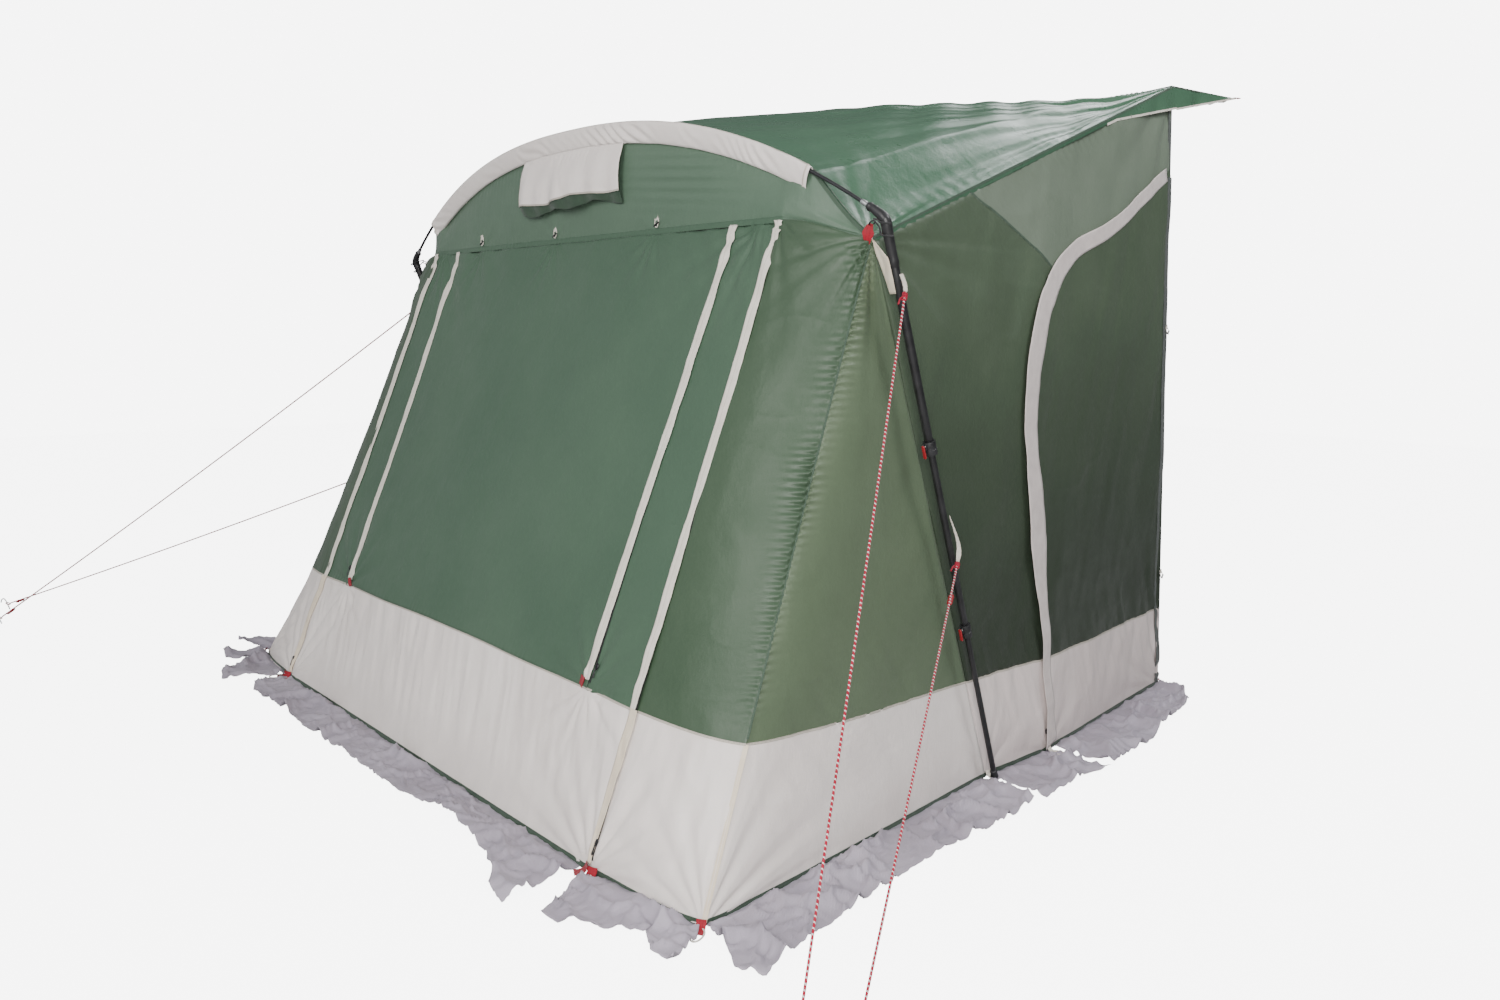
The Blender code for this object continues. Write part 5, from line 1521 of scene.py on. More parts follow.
def upper_panel_base(a, b):
    x = a * UPPER_REACH
    bottom = upper_seam(x)
    # Behind the sleeve the top edge climbs to the roof's edge, and follows it to the tie point.
    drop = lerp(SLEEVE_UNDER - 0.004, 0.0, smooth(np.abs(x), 1.06, 1.17))
    under_sleeve = arch_point(np.minimum(np.abs(x), SLEEVE_END_X), drop) + np.array((0.0, 0.006, 0.0))
    free = roof_front_edge(np.abs(x)) + np.array((0.0, -0.0016, -0.0010))
    top = lerp(under_sleeve, free, smooth(np.abs(x), 1.14, SLEEVE_END_X)[..., None])
    top[..., 0] = x
    return lerp(bottom, top, b[..., None])


def upper_panel_folds(p, a, b):
    side = np.where(a < 0, -1.0, 1.0)
    q = p * np.stack([side, 1 + 0 * side, 1 + 0 * side], axis=-1)
    facing = (0.0, -0.98, 0.2)
    total = billow(p, 0.50, 0.0060, 130.0) + billow(p, 0.13, 0.0010, 131.0)
    total += fan(q, TIE_POINT, facing, 0.34, 17.0, 0.0052, 132.0)
    height = (1 - b) * np.linalg.norm(upper_panel_base(a, 0 * a + 1) - upper_panel_base(a, 0 * a), axis=-1)
    total += gathers(p[..., 0], height, 0.030, 0.0022, 0.030, 133.0)
    total += gathers(p[..., 0], p[..., 2] - SEAM_Z, 0.024, 0.0016, 0.022, 134.0)
    beside = np.exp(-(((p[..., 0] - 0.62) / 0.26) ** 2)) * np.exp(-(((b - 0.62) / 0.28) ** 2))
    total += beside * pleats(p[..., 2] + 0.10 * p[..., 0], p[..., 0], 0.034, 0.0050, 135.0)
    for x in TOGGLE_XS:
        total += fan(p, upper_seam(x), facing, 0.10, 8.0, 0.0026, 136.0 + x)
    bow = 0.012 * np.sin(math.pi * b) * np.clip(1 - np.abs(a) ** 2, 0, None)
    return (total + bow) * smooth(1 - b, 0.0, 0.06)


UPPER = Wall(upper_panel_base, upper_panel_folds)


def make_upper_panel():
    a, b = np.meshgrid(np.linspace(-0.999, 0.999, 330), crowded(46, 0.3, 0.3) * 0.995 + 0.004)
    piece = cloth_piece(
        "front_upper_cloth", UPPER.at(a, b), "upper", "root", 1, "green_fabric", ("front_upper_panel",),
    )
    UPPER.base(a, b)
    x = np.linspace(-0.99, 0.99, 300)
    seam = UPPER.at(x, 0 * x + 0.004, 0.0040)
    band_piece("upper_seam_tape", seam, (0, -0.95, 0.3), 0.0200, 0.0014, "green", "root")
    for side, label in SIDES:
        x = np.linspace(SLEEVE_END_X - 0.03, TIE_POINT[0] - 0.004, 60)
        edge = roof_front_edge(x) + (0.0, -0.003, 0.0)
        band_piece(f"roof_free_edge_{label}", edge, (0, -0.8, 0.6), 0.012, 0.0018, "seam", "root", side)


# ---------------------------------------------------------------- vent hood
def hood_base(a, b):
    """b runs down from the sleeve to the free lower edge."""
    x = a * HOOD_HALF_WIDTH
    start = arch_point(x, SLEEVE_UNDER - 0.002) + np.array((0.0, -0.0085, 0.0))
    wave = 0.5 * np.sin(a * 5.1 + 0.8) + 0.5 * np.sin(a * 8.3 + 2.2)
    out = HOOD_STAND_OFF * (1 - 0.45 * a**2) + 0.010 * wave
    low = HOOD_BOTTOM_Z + 0.010 * a + 0.0065 * np.sin(a * 5.1 + 0.3)
    end = vec(x, SEAM_Y - 0.010 - out, low)
    belly = 0.010 * np.sin(math.pi * b)
    point = lerp(start, end, b[..., None])
    point[..., 1] -= belly
    return point


def hood_folds(p, a, b):
    total = billow(p, 0.16, 0.0035, 150.0) + billow(p, 0.06, 0.0009, 151.0)
    total += gathers(p[..., 0], b * 0.15, 0.030, 0.0018, 0.030, 152.0)
    total += creases(p, 0.16, 0.0022, 153.0)
    total += b * 0.004 * np.sin(a * 17.0 + 1.0)
    return total * smooth(b, 0.0, 0.08)


def make_hood():
    hood = Wall(hood_base, hood_folds)
    a, b = np.meshgrid(np.linspace(-1, 1, 96), np.linspace(1, 0, 30))
    piece = cloth_piece(
        "vent_hood_cloth", hood.at(a, b, 0.0), "beige", "vent_hood", 1, "beige_fabric", ("vent_hood",),
    )
    plain = hood.base(a, b)
    edge = hood.at(np.linspace(-1, 1, 96), np.ones(96))
    lining = []
    for t in np.linspace(1, 0, 12):
        sag = 0.030 + 0.010 * np.sin(np.linspace(-1, 1, 96) * 7.0 + 0.5)
        inward = 0.016 * t
        lining.append(edge + vec(0 * sag, inward + 0.002, -sag * t))
    strip = cloth_piece("vent_hood_lining", np.array(lining), "hem", "vent_hood", 1, "green_fabric")
    band_piece(
        "vent_hood_hem", edge + (0, -0.0012, 0.003), (0, -1, 0.1), 0.0070, 0.0014,
        "beige_seam", "vent_hood",
    )
    for side, label in SIDES:
        down = np.linspace(0.02, 1.0, 30)
        line = hood.at(0 * down + 0.99 * side, down, 0.0010)
        trim = band_piece(
            f"vent_hood_trim_{label}", line, (0, -1, 0.2), 0.0080, 0.0014, "cream", "vent_hood"
        )


# ---------------------------------------------------------------- ground skirts
SKIRT_GAP = 0.0095  # between the columns of points in a skirt


def outline_at(points, t):
    """A point t from 0 to 1 along an outline, by its length."""
    points = np.asarray(points, float)
    steps = np.linalg.norm(np.diff(points, axis=0), axis=1)
    at = np.concatenate([[0.0], np.cumsum(steps)]) / steps.sum()
    return np.stack([np.interp(t, at, points[:, k]) for k in range(2)], axis=-1)


def skirt_piece(name, inner, outer, body, side, node, seed, rows):
    """Loose sheeting on the ground, from the hem to a torn, wavy outer edge."""
    length = max(line_length(np.asarray(outer)), line_length(np.asarray(inner)))
    columns = int(length / SKIRT_GAP)
    t = np.linspace(0, 1, columns)
    near, far = outline_at(inner, t), outline_at(outer, t)
    across = np.linspace(0, 1, rows)[:, None, None]
    flat = lerp(far[None], near[None], across)
    flat = np.concatenate([flat, np.zeros(flat.shape[:2] + (1,))], axis=-1)
    rim = (1 - across[..., 0]) ** 2
    out = unit(np.concatenate([far - near, np.zeros((columns, 1))], axis=1))
    ragged = 0.010 * wobble(t * length, 0.11, seed) + 0.006 * wobble(t * length, 0.03, seed + 1)
    grid = flat + out[None] * (rim * ragged[None])[..., None]
    lift = creases(flat, 0.17, 0.0280, seed + 2) + creases(flat, 0.06, 0.0095, seed + 3)
    lift = lift + 0.010 * np.clip(noise(flat, 0.22, seed + 4), 0, None)
    slide = vec(noise(flat, 0.08, seed + 6), noise(flat, 0.08, seed + 7), 0.0) * 0.005
    edge = rim**3
    lift = lift * (0.35 + 0.65 * smooth(1 - across[..., 0], 0.0, 0.25))
    lift = lift + edge * 0.006 * np.clip(wobble(t * length, 0.09, seed + 8)[None], -0.4, 1)
    grid = grid + slide * smooth(1 - across, 0.0, 0.2)
    grid[..., 2] = 0.0016 + np.clip(lift, 0, None)
    piece = cloth_piece(name, grid, "skirt", body, side, "skirt_fabric", (node,) if node else ())
    return piece


def make_skirts():
    half = DOOR_HALF_HEM
    front_outer = [
        (-1.150, -1.500), (-1.040, -1.530), (-0.540, -1.535), (-0.140, -1.520), (0.300, -1.525),
        (0.550, -1.500), (0.740, -1.505), (0.870, -1.515), (0.990, -1.560), (1.060, -1.618),
        (1.150, -1.620),
    ]
    skirt_piece(
        "skirt_front_cloth", [(-half, FRONT_HEM_Y + 0.004), (1.105, FRONT_HEM_Y + 0.004)], front_outer,
        "front_door", 1, "skirt_front", 200.0, 34,
    )
    wedge_outer = [(1.175, -1.420), (1.265, -1.580), (1.340, -1.560), (1.420, -1.500), (1.490, -1.425)]
    tip_outer = [(1.500, -1.430), (1.575, -1.475), (1.655, -1.465), (1.600, -1.350)]
    corner_outer = [
        (1.640, -1.315), (1.700, -1.335), (1.770, -1.370), (1.825, -1.330), (1.770, -1.180),
        (1.730, -1.010), (1.665, -0.710), (1.635, -0.560), (1.610, -0.260), (1.588, -0.062),
    ]
    rear_outer = [(1.575, 0.010), (1.560, 0.090), (1.540, 0.260), (1.552, 0.374)]
    door_outer = [(1.552, 0.380), (1.480, 0.720), (1.350, 1.200), (1.180, 1.400)]
    corner, leg, side_zip_foot = HEM_CORNER[:2], HEM_AT_LEG[:2], HEM_AT_SIDE_ZIP[:2]
    knee = lerp(np.array((half, FRONT_HEM_Y)), corner, 0.80)
    for side, label in SIDES:
        seed = 220.0 + 17 * side
        sheets = (
            ("wedge", (half + 0.010, FRONT_HEM_Y + 0.002), knee, wedge_outer, f"skirt_side_{label}", 0, 26),
            ("tip", knee + (0.004, 0), corner + (-0.004, -0.002), tip_outer, None, 9, 26),
            ("corner", corner + (0.0, 0.012), leg + (0.0, -0.030), corner_outer, None, 20, 34),
            ("rear", leg + (0.0, 0.004), side_zip_foot + (0.0, 0.008), rear_outer, None, 40, 28),
        )
        for part, start, end, outer, node, turn, rows in sheets:
            skirt_piece(f"skirt_{part}_{label}", [start, end], outer, "root", side, node, seed + turn, rows)
        skirt_piece(
            f"skirt_door_cloth_{label}", [side_zip_foot + (0.0, 0.014), HEM_REAR[:2]], door_outer,
            f"side_door_{label}", side, f"skirt_door_{label}", seed + 60, 34,
        )


make_roof()
make_sleeve()
make_upper_panel()
make_hood()
make_skirts()


# ---------------------------------------------------------------- poles and fittings
def turned_piece(name, centre, axis, profile, material, body, side=1, count=40, ribs=0.0, **kept):
    """A ring turned about an axis from a closed outline of (radius, height) pairs."""
    axis = unit(np.asarray(axis, float))
    first = unit(np.cross(axis, (0.3, 0.9, 0.1)))
    second = np.cross(axis, first)
    profile = np.asarray(profile, float)
    inner = profile[:, 0].min()
    rings = []
    for i in range(count):
        turn = 2 * math.pi * i / count
        grip = ribs * (0.5 + 0.5 * math.cos(turn * count / 4)) * (profile[:, 0] > inner + 0.003)
        out = first * math.cos(turn) + second * math.sin(turn)
        rings.append(centre + out * (profile[:, :1] - grip[:, None]) + axis * profile[:, 1:])
    rings.append(rings[0])
    faces = grid_faces(count + 1, len(profile), closed=True)
    faces = [[i % (count * len(profile)) for i in face] for face in faces]
    piece = new_mesh(name, place(np.vstack(rings[:-1]), side), faces, material, None, 38)
    face_outward(piece.data)
    return finish_piece(piece, body, **kept)


def collar_profile(inner, outer, half, groove=0.0012):
    """The outline of a moulded ring with softened rims and a groove round its middle."""
    soft = 0.0018
    return [
        (inner, -half), (outer - soft, -half), (outer - soft * 0.3, -half + soft * 0.3),
        (outer, -half + soft), (outer, -0.0045), (outer - groove, -0.0035), (outer - groove, 0.0035),
        (outer, 0.0045), (outer, half - soft), (outer - soft * 0.3, half - soft * 0.3),
        (outer - soft, half), (inner, half),
    ]


def tube_piece(name, start, end, radius, material, body, side, node):
    """A straight drawn tube with turned-in ends."""
    shares = np.array([0.0, 0.0012, 0.003, 0.2, 0.4, 0.6, 0.8, 0.997, 0.9988, 1.0])
    path = lerp(np.asarray(start, float), np.asarray(end, float), shares[:, None])
    radii = radius * np.array([0.80, 0.94, 1, 1, 1, 1, 1, 1, 0.94, 0.80])
    return swept_piece(
        name, path, radii, material, body, side, 28, (0.2, 0.9, 0.3), slot="black_tube", nodes=(node,),
    )


def make_elbow(side, label):
    """The moulded bend that joins the arch rod to the leg."""
    points = [
        arch_point(ELBOW_MOUTH_X), arch_point(1.425), LEG_TOP + (-0.002, 0.003, -0.006), leg_point(0.040),
        leg_point(0.060), leg_point(0.140),
    ]
    radii = (0.0108, 0.0128, 0.0155, 0.0150, 0.0142, 0.0130)
    count = 72
    path = curve_through(points, count)
    at = np.linspace(0, 5, count)
    radius = np.interp(at, np.arange(6), radii)
    t = np.linspace(0, 1, count)
    for middle, width in ((0.045, 0.018), (0.955, 0.018)):
        radius = radius + 0.0016 * np.exp(-(((t - middle) / width) ** 2))
    radius[:2] *= (0.86, 0.97)
    radius[-2:] *= (0.97, 0.86)
    swept_piece(
        f"elbow_moulding_{label}", path, radius, "plastic", "root", side, 32, (0.3, 0.9, 0.2),
        slot="black_plastic", nodes=(f"elbow_{label}",),
    )
    xs = np.linspace(1.373, 1.419, 12)
    radii = 0.0078 * np.array([0.84, 0.97, 1, 1, 0.95, 1, 1, 1, 1, 1, 0.97, 0.84])
    swept_piece(
        f"ferrule_turned_{label}", arch_point(xs), radii, "steel", "root", side, 24,
        (0, 0.9, 0.1), slot="bright_ferrule", nodes=(f"elbow_ferrule_{label}",),
    )


def make_clamp(side, label, distance, tube_radius, body):
    down, outward, forward = leg_directions(1)
    centre = leg_point(distance + 0.003)
    inner, outer = tube_radius + 0.0004, tube_radius + 0.0060
    turned_piece(
        f"clamp_collar_{label}", centre, down, collar_profile(inner, outer, 0.021), "plastic",
        body, side, slot="black_plastic", nodes=(f"leg_clamp_{label}",),
    )
    lug_reach = outer + 0.0045
    for offset, mark in ((-0.0042, "a"), (0.0042, "b")):
        block_piece(
            f"clamp_lug_{label}_{mark}",
            centre + forward * (outer + 0.0012) - down * 0.010 + outward * offset,
            (forward, outward, down), (0.0036, 0.0021, 0.0088), "plastic", body, side,
        )
    pivot = centre + forward * (lug_reach + 0.0035) - down * 0.014
    pin = [pivot - forward * 0.0026 + outward * a for a in (-0.0082, -0.0075, 0.0, 0.0075, 0.0082)]
    swept_piece(
        f"clamp_pin_{label}", pin, 0.0016 * np.array([0.8, 1, 1, 1, 0.8]), "steel", body, side,
        14, forward,
    )
    t = np.linspace(0, 1, 22)
    bow = 0.0010 * np.sin(t * math.pi) + 0.0016 * smooth(t, 0.7, 1.0)
    path = pivot + down * (-0.0027 + 0.040 * t)[:, None] + forward * bow[:, None]
    thick = 0.0030 - 0.0011 * smooth(t, 0.15, 0.9)
    wide = 0.0066 - 0.0006 * np.sin(t * math.pi * 1.2)
    tip = np.sqrt(np.clip(1 - (2 * np.abs(t - 0.5)) ** 9, 0.12, 1))
    swept_piece(
        f"clamp_paddle_{label}", path, np.stack([thick * tip, wide * tip], axis=1), "red_plastic",
        f"clamp_lever_{label}", side, 24, forward, slot="red_plastic", nodes=(f"clamp_lever_{label}",),
    )


def make_leg(side, label):
    reach = (0.062, UPPER_CLAMP_SHARE * LEG_LENGTH, LOWER_CLAMP_SHARE * LEG_LENGTH, LEG_LENGTH - 0.012)
    bodies = ("root", f"leg_middle_{label}", f"leg_lower_{label}")
    for k, part in enumerate(("upper", "middle", "lower")):
        start = reach[k] - (TUBE_OVERLAP if k else 0.0)
        tube_piece(
            f"leg_tube_{part}_{label}", leg_point(start), leg_point(reach[k + 1]), TUBE_RADII[k], "tube",
            bodies[k], side, f"leg_{part}_{label}",
        )
    make_clamp(side, f"upper_{label}", reach[1], TUBE_RADII[0], "root")
    make_clamp(side, f"lower_{label}", reach[2], TUBE_RADII[1], bodies[1])
    down = unit(LEG_FOOT - LEG_TOP)
    t = np.linspace(0, 1, 16)
    path = leg_point(LEG_LENGTH - 0.034) + down * (0.031 * t)[:, None]
    radius = 0.0118 + 0.0010 * smooth(t, 0.5, 0.8) - 0.0012 * np.exp(-(((t - 0.4) / 0.08) ** 2))
    radius = radius * np.sqrt(np.clip(1 - (2 * np.abs(t - 0.5)) ** 12, 0.25, 1))
    swept_piece(
        f"leg_foot_cup_{label}", path, radius, "plastic", bodies[2], side, 28, (0.3, 0.9, 0.2),
        slot="black_plastic", nodes=(f"leg_foot_{label}",),
    )


def make_upright(side, label):
    joint = lerp(UPRIGHT_FOOT, UPRIGHT_TOP, UPRIGHT_JOINT_Z / UPRIGHT_TOP[2])
    up = unit(UPRIGHT_TOP - UPRIGHT_FOOT)
    tube_piece(
        f"upright_tube_upper_{label}", joint, UPRIGHT_TOP, TUBE_RADII[0], "tube", "root", side,
        f"rear_upright_upper_{label}",
    )
    tube_piece(
        f"upright_tube_lower_{label}", UPRIGHT_FOOT, joint + up * 0.12, TUBE_RADII[1], "tube",
        f"rear_upright_lower_{label}", side, f"rear_upright_lower_{label}",
    )
    turned_piece(
        f"twist_lock_grip_{label}", joint, up,
        collar_profile(TUBE_RADII[0] + 0.0005, 0.0178, 0.030, 0.0016), "plastic",
        f"rear_twist_lock_{label}", side, 96, 0.0011, slot="black_plastic",
        nodes=(f"rear_twist_lock_{label}",),
    )
    centre = UPRIGHT_FOOT + up * 0.012
    turned_piece(
        f"upright_foot_{label}", centre, up,
        collar_profile(TUBE_RADII[1] + 0.0002, TUBE_RADII[1] + 0.0028, 0.011, 0.0005),
        "plastic", f"rear_upright_lower_{label}", side,
    )


def make_poles():
    path = arch_point(np.linspace(-ROD_HALF_SPAN, ROD_HALF_SPAN, 240))
    swept_piece(
        "arch_rod_smooth", path, ROD_RADIUS, "rod", "root", sides=20, reference=(0, 0.9, 0.1),
        slot="arch_rod", nodes=("arch_pole",),
    )
    for x, where in ((-0.72, "left"), (0.0, "middle"), (0.72, "right")):
        swept_piece(
            f"rod_joint_{where}", arch_point(np.linspace(x - 0.03, x + 0.03, 8)),
            (ROD_RADIUS + 0.0009) * np.array([0.9, 1, 1, 1, 1, 1, 1, 0.9]), "steel", "root", sides=20,
            reference=(0, 0.9, 0.1),
        )
    bar = vec(np.linspace(-CROSS_BAR_HALF, CROSS_BAR_HALF, 10), UPRIGHT_TOP[1] - 0.0005, CROSS_BAR_Z)
    radii = TUBE_RADII[1] * np.array([0.85, 1, 1, 1, 1, 1, 1, 1, 1, 0.85])
    swept_piece(
        "cross_bar_tube", bar, radii, "tube", "root", sides=28, reference=(0, 1, 0),
        slot="black_tube", nodes=("rear_cross_bar",),
    )
    for side, label in SIDES:
        make_elbow(side, label)
        make_leg(side, label)
        make_upright(side, label)


# ---------------------------------------------------------------- zip sliders
def make_slider(name, spot, up, out, body, side, nodes):
    """A slider with its bridge, and a flat puller that hangs from it."""
    up, out = unit(np.asarray(up, float)), unit(np.asarray(out, float))
    across = np.cross(up, out)
    t = np.linspace(0, 1, 14)
    path = spot + up * (0.010 - 0.020 * t)[:, None]
    wide = 0.0052 + 0.0020 * np.sin(math.pi * np.clip(t * 1.1, 0, 1)) - 0.0016 * t
    tip = np.sqrt(np.clip(1 - (2 * np.abs(t - 0.5)) ** 8, 0.15, 1))
    swept_piece(
        f"{name}_shell", path, np.stack([wide * tip, 0.0021 * tip], axis=1), "zip_metal", body,
        side, 20, across, slot="zip_metal", nodes=nodes,
    )
    bridge = ((0.007, 0.0015), (0.004, 0.0045), (-0.003, 0.0048), (-0.006, 0.0015))
    arch = [spot + up * a + out * b for a, b in bridge]
    swept_piece(f"{name}_bridge", curve_through(arch, 14), 0.0009, "zip_metal", body, side, 10, across)
    path = spot + out * 0.0034 + up * (-0.004 - 0.030 * t)[:, None]
    wide = 0.0026 + 0.0018 * smooth(t, 0.2, 0.9)
    swept_piece(
        f"{name}_puller", path, np.stack([wide * tip, 0.0009 * tip], axis=1), "plastic", body,
        side, 20, across,
    )


def make_sliders():
    front_up = unit(front(0.0, 1.0) - front(0.0, 0.0))
    front_out = np.array((0.0, -front_up[2], front_up[1]))
    for side, label in SIDES:
        spot = front(0.906, 0.470) + front_out * 0.0058
        name = f"window_zip_slider_{label}"
        make_slider(name, spot, front_up, front_out, name, side, (name,))
        spot = front(outer_zip_x(0.075) + 0.012, 0.075) + front_out * 0.0075
        name = f"door_zip_slider_{label}"
        make_slider(name, spot, front_up, front_out, name, side, (name,))
        low, high = side_zip(0.04), side_zip(0.11)
        out = unit(np.array((1.0, -SIDE_Y_SLOPE, 0.0)))
        spot = side_zip(0.075) + (0.0, -0.020, 0.0) + out * 0.0105
        name = f"side_zip_slider_{label}"
        make_slider(name, spot, high - low, out, name, side, (name,))


# ---------------------------------------------------------------- toggles, ties and tabs
def toggle(name, spot, down, out, body, side=1, size=1.0):
    """A sewn cream loop with a small black toggle through it."""
    down, out = unit(np.asarray(down, float)), unit(np.asarray(out, float))
    across = np.cross(down, out)
    turn = np.linspace(-0.5, 1.5, 30) * math.pi
    ring = spot + down * (0.014 * size) + across * (0.0085 * size * np.cos(turn))[:, None]
    ring = ring + down * (0.0165 * size * np.sin(turn))[:, None]
    ring = ring + out * (0.0030 + 0.0030 * np.sin(turn))[:, None]
    swept_piece(f"{name}_loop", ring, 0.0017, "cream", body, side, 8, out)
    tab = spot + down * (np.linspace(-0.006, 0.010, 6) * size)[:, None] + out * 0.0020
    band_piece(f"{name}_tab", tab, out, 0.014 * size, 0.0016, "cream", body, side)
    t = np.linspace(-1, 1, 12)
    lean = across * 0.95 + down * 0.32
    bar = spot + down * (0.022 * size) + lean * (0.0125 * size * t)[:, None] + out * 0.0066
    radius = 0.0030 * size * np.sqrt(np.clip(1 - np.abs(t) ** 6, 0.15, 1))
    radius = radius * (1 - 0.25 * np.exp(-((t / 0.2) ** 2)))
    swept_piece(f"{name}_bar", bar, radius, "plastic", body, side, 14, out)


def make_toggles():
    out = unit(np.array((0.0, -0.97, 0.24)))
    for x, label in zip(TOGGLE_XS, ("a", "b", "c")):
        spot = UPPER.at(np.array([x / UPPER_REACH]), np.array([0.17]), 0.0010)[0]
        spot[2] = SEAM_Z + 0.047
        spot[1] = SEAM_Y + 0.003
        toggle(f"front_toggle_{label}", spot + (0, -0.006, 0), (0.15, 0.0, -1.0), out, "root", 1, 1.15)
    for side, label in SIDES:
        for z, which in ((1.440, "high"), (0.470, "low")):
            spot = rear_edge(z) + (0.008, -0.014, 0.0)
            toggle(
                f"edge_toggle_{which}_{label}", spot, (0, 0.2, -1), SIDE_FACING, f"side_door_{label}",
                side,
            )


def make_ties():
    """What holds the cloth to the elbow and the leg, and the tabs where the ropes are tied."""
    for side, label in SIDES:
        tab = [
            TIE_POINT + (-0.010, -0.010, -0.020), TIE_POINT + (0.002, -0.018, 0.004),
            TIE_POINT + (0.006, -0.018, 0.022), TIE_POINT + (0.012, -0.015, 0.036),
        ]
        band_piece(
            f"tie_webbing_{label}", curve_through(tab, 18), (0.5, -0.85, 0.1),
            np.interp(np.linspace(0, 1, 18), [0, 0.45, 1], [0.014, 0.036, 0.013]), 0.0020,
            "red", "root", side,
        )
        ring = ring_points(
            TIE_POINT + (0.016, -0.016, 0.038), np.array((0.8, 0.0, 0.6)), np.array((0, -1.0, 0.0)),
            0.009, 1.0, count=28,
        )
        swept_piece(f"tie_ring_{label}", ring, 0.0019, "plastic", "root", side, 10, (-0.6, 0.0, 0.8))
        for k, reach in enumerate((0.016, 0.050)):
            end = leg_point(reach)
            cord = [
                TIE_POINT + (0.024, -0.018, 0.048 - 0.004 * k),
                lerp(TIE_POINT + (0.02, -0.016, 0.046), end, 0.55) + (0.0, -0.010, 0.004),
                end + (-0.006, -0.0205, 0.002), end + (0.012, -0.0195, -0.002),
                end + (0.0215, -0.004, -0.003),
            ]
            swept_piece(
                f"tie_cord_{'ab'[k]}_{label}", curve_through(cord, 30), 0.0024, "bungee",
                "root", side, 10, (0.2, 0.3, 0.9),
            )
        down, outward, forward = leg_directions(1)
        near, low = leg_point(0.105) + forward * 0.0155, leg_point(0.205) + forward * 0.0150
        grid = []
        for t in np.linspace(1, 0, 26):
            last = lerp(TIE_POINT, near, t / 0.45) if t < 0.45 else lerp(near, low, (t - 0.45) / 0.55)
            first = fold_line(lerp(TIE_POINT[2] - 0.004, low[2], t)) + (0.004, -0.004, 0.0)
            first = lerp(first, last, 0.5 * t)
            across = np.linspace(0, 1, 12)[:, None]
            wave = 0.0015 * (1 + np.sin(across * 7 + t * 5)) * math.sin(math.pi * t)
            grid.append(lerp(first, last, across) + forward * wave)
        cloth_piece(f"leg_gusset_{label}", np.array(grid), "foot_flap", "root", side)
        low = leg_point(0.205)
        tab = [
            low - down * 0.050 - forward * 0.002, low - down * 0.02 - forward * 0.009,
            low - forward * 0.006,
        ]
        tab = [point + outward * 0.0155 for point in tab]
        band_piece(
            f"rope_tab_upper_{label}", curve_through(tab, 12), (0.6, -0.8, 0), 0.013, 0.0020,
            "cream", "root", side,
        )
        share_low = ROPES[f"guy_rope_{label}_lower"][0]
        at = leg_point(share_low * LEG_LENGTH)
        tab = [at - down * 0.150 - forward * 0.004, at - down * 0.050 - forward * 0.018, at + down * 0.004]
        tab = curve_through([point + outward * 0.0200 for point in tab], 16)
        width = np.interp(np.linspace(0, 1, 16), [0, 0.75, 1], [0.003, 0.016, 0.009])
        band_piece(f"rope_tab_lower_{label}", tab, (0.6, -0.8, 0), width, 0.0018, "cream", "root", side)


def ground_tab(name, hem, away, material, side, reach=0.050, width=0.022, body="root"):
    """Webbing from the hem to the ground."""
    away = unit(np.asarray(away, float) * (1, 1, 0))
    path = [
        hem + away * 0.004 + (0, 0, 0.026), hem + away * 0.010 + (0, 0, 0.012),
        hem + away * (reach * 0.55) + (0, 0, 0.006), hem + away * reach + (0, 0, 0.0045),
    ]
    band_piece(name, curve_through(path, 16), UPWARD, width, 0.0020, material, body, side)


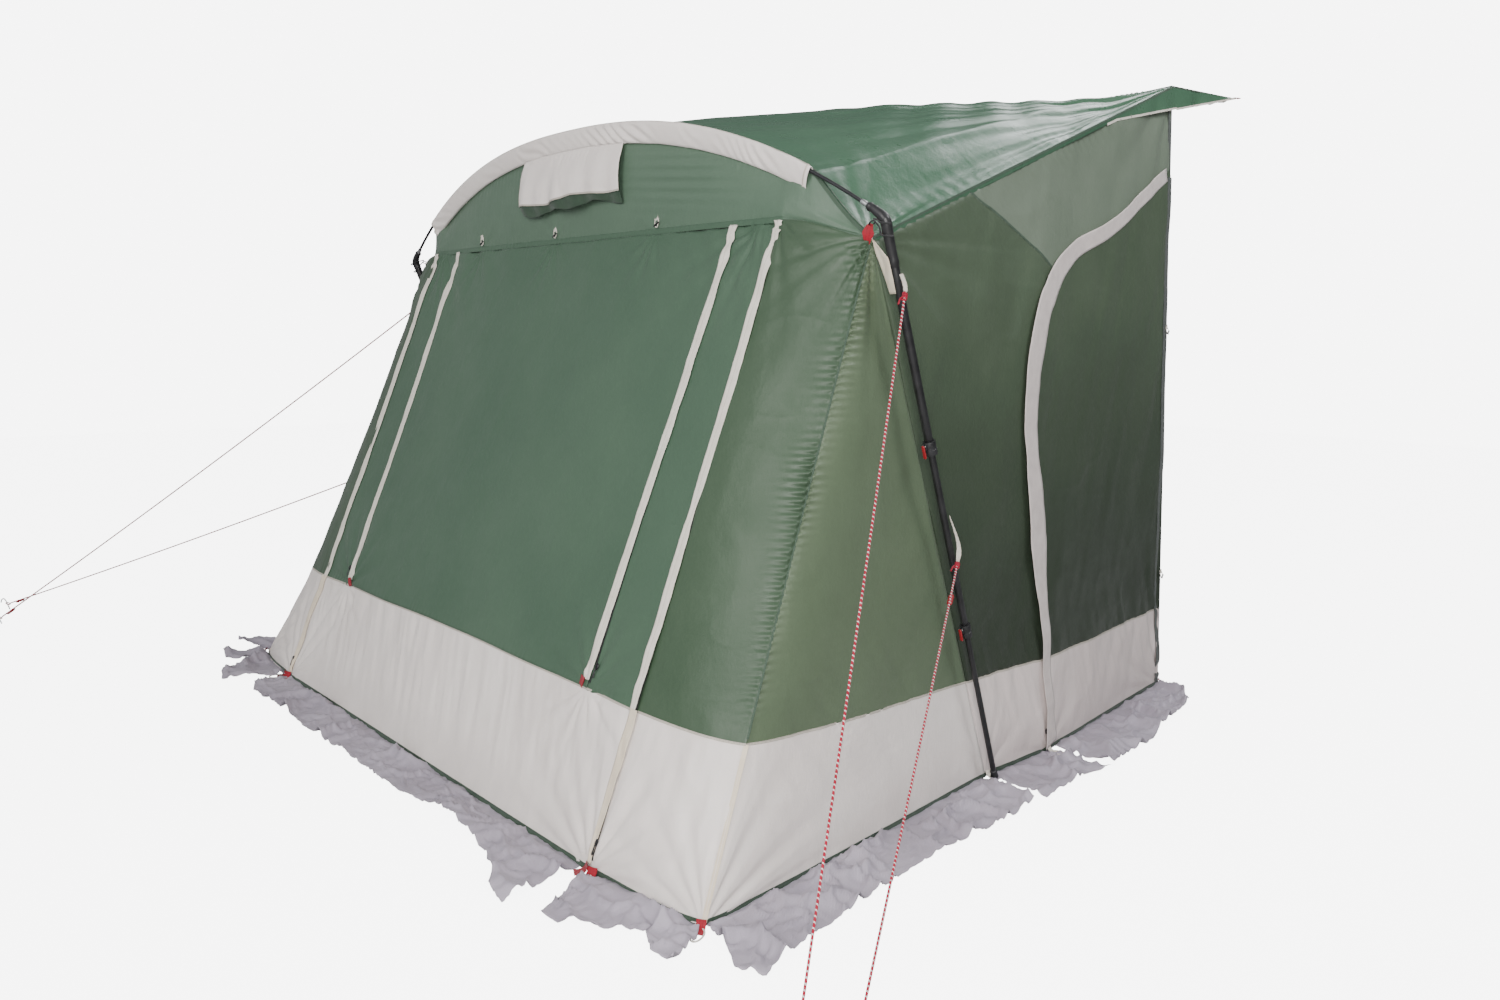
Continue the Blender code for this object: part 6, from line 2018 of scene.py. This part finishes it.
def ground_loop(name, hem, away, side, reach=0.060, radius=0.016, body="root", material="cream"):
    away = unit(np.asarray(away, float) * (1, 1, 0))
    over = np.array((-away[1], away[0], 0.0))
    centre = hem + away * reach + (0, 0, 0.0060)
    loop = ring_points(centre, away * 1.5, over * 0.75 + (0, 0, 0.10), radius, 1.0, count=32)
    swept_piece(name, loop, 0.0024, material, body, side, 10, (0, 0, 1))


def make_tabs():
    for side, label in SIDES:
        hem = front(DOOR_HALF_HEM + 0.012, 0.0)
        ground_tab(
            f"zip_foot_tab_a_{label}", hem + (-0.004, 0, 0), (-0.45, -0.9, 0), "red", side, 0.040, 0.036,
        )
        ground_tab(f"zip_foot_tab_b_{label}", hem + (0.020, 0, 0), (0.35, -0.9, 0), "red", side, 0.038, 0.032)
        ground_loop(f"zip_foot_loop_{label}", hem + (0.012, 0, 0), (0.30, -0.95, 0), side, 0.040, 0.020)
        corner = HEM_CORNER + (0.002, -0.002, 0.0)
        ground_tab(f"corner_tab_{label}", corner, (0.62, -0.78, 0), "red", side, 0.040, 0.026)
        ground_loop(f"corner_loop_{label}", corner, (0.62, -0.78, 0), side, 0.044, 0.021)
        leg = HEM_AT_LEG + (0.003, 0.0, 0.0)
        ground_tab(f"leg_hem_tab_{label}", leg, (1, -0.1, 0), "cream", side, 0.046, 0.020)
        door_foot = HEM_AT_SIDE_ZIP + (0.003, -0.012, 0.0)
        ground_tab(f"door_foot_tab_{label}", door_foot, (1, 0.1, 0), "cream", side, 0.040, 0.022)
        ground_loop(f"door_foot_loop_{label}", door_foot, (1, 0.1, 0), side, 0.046, 0.016)
        rear = HEM_REAR + (0.004, -0.010, 0.0)
        ground_tab(f"rear_tab_{label}", rear, (1, 0.5, 0), "red", side, 0.055, 0.022, f"side_door_{label}")
        spot = front(0.866, 0.426)
        tab = [
            spot + (0.000, -0.0085, 0.014), spot + (-0.004, -0.0100, 0.0),
            spot + (-0.012, -0.0110, -0.018),
        ]
        band_piece(
            f"window_foot_tab_{label}", curve_through(tab, 10), FRONT_FACING, 0.021, 0.0020,
            "red", "window_cover", side,
        )


make_poles()
make_sliders()
make_toggles()
make_ties()
make_tabs()
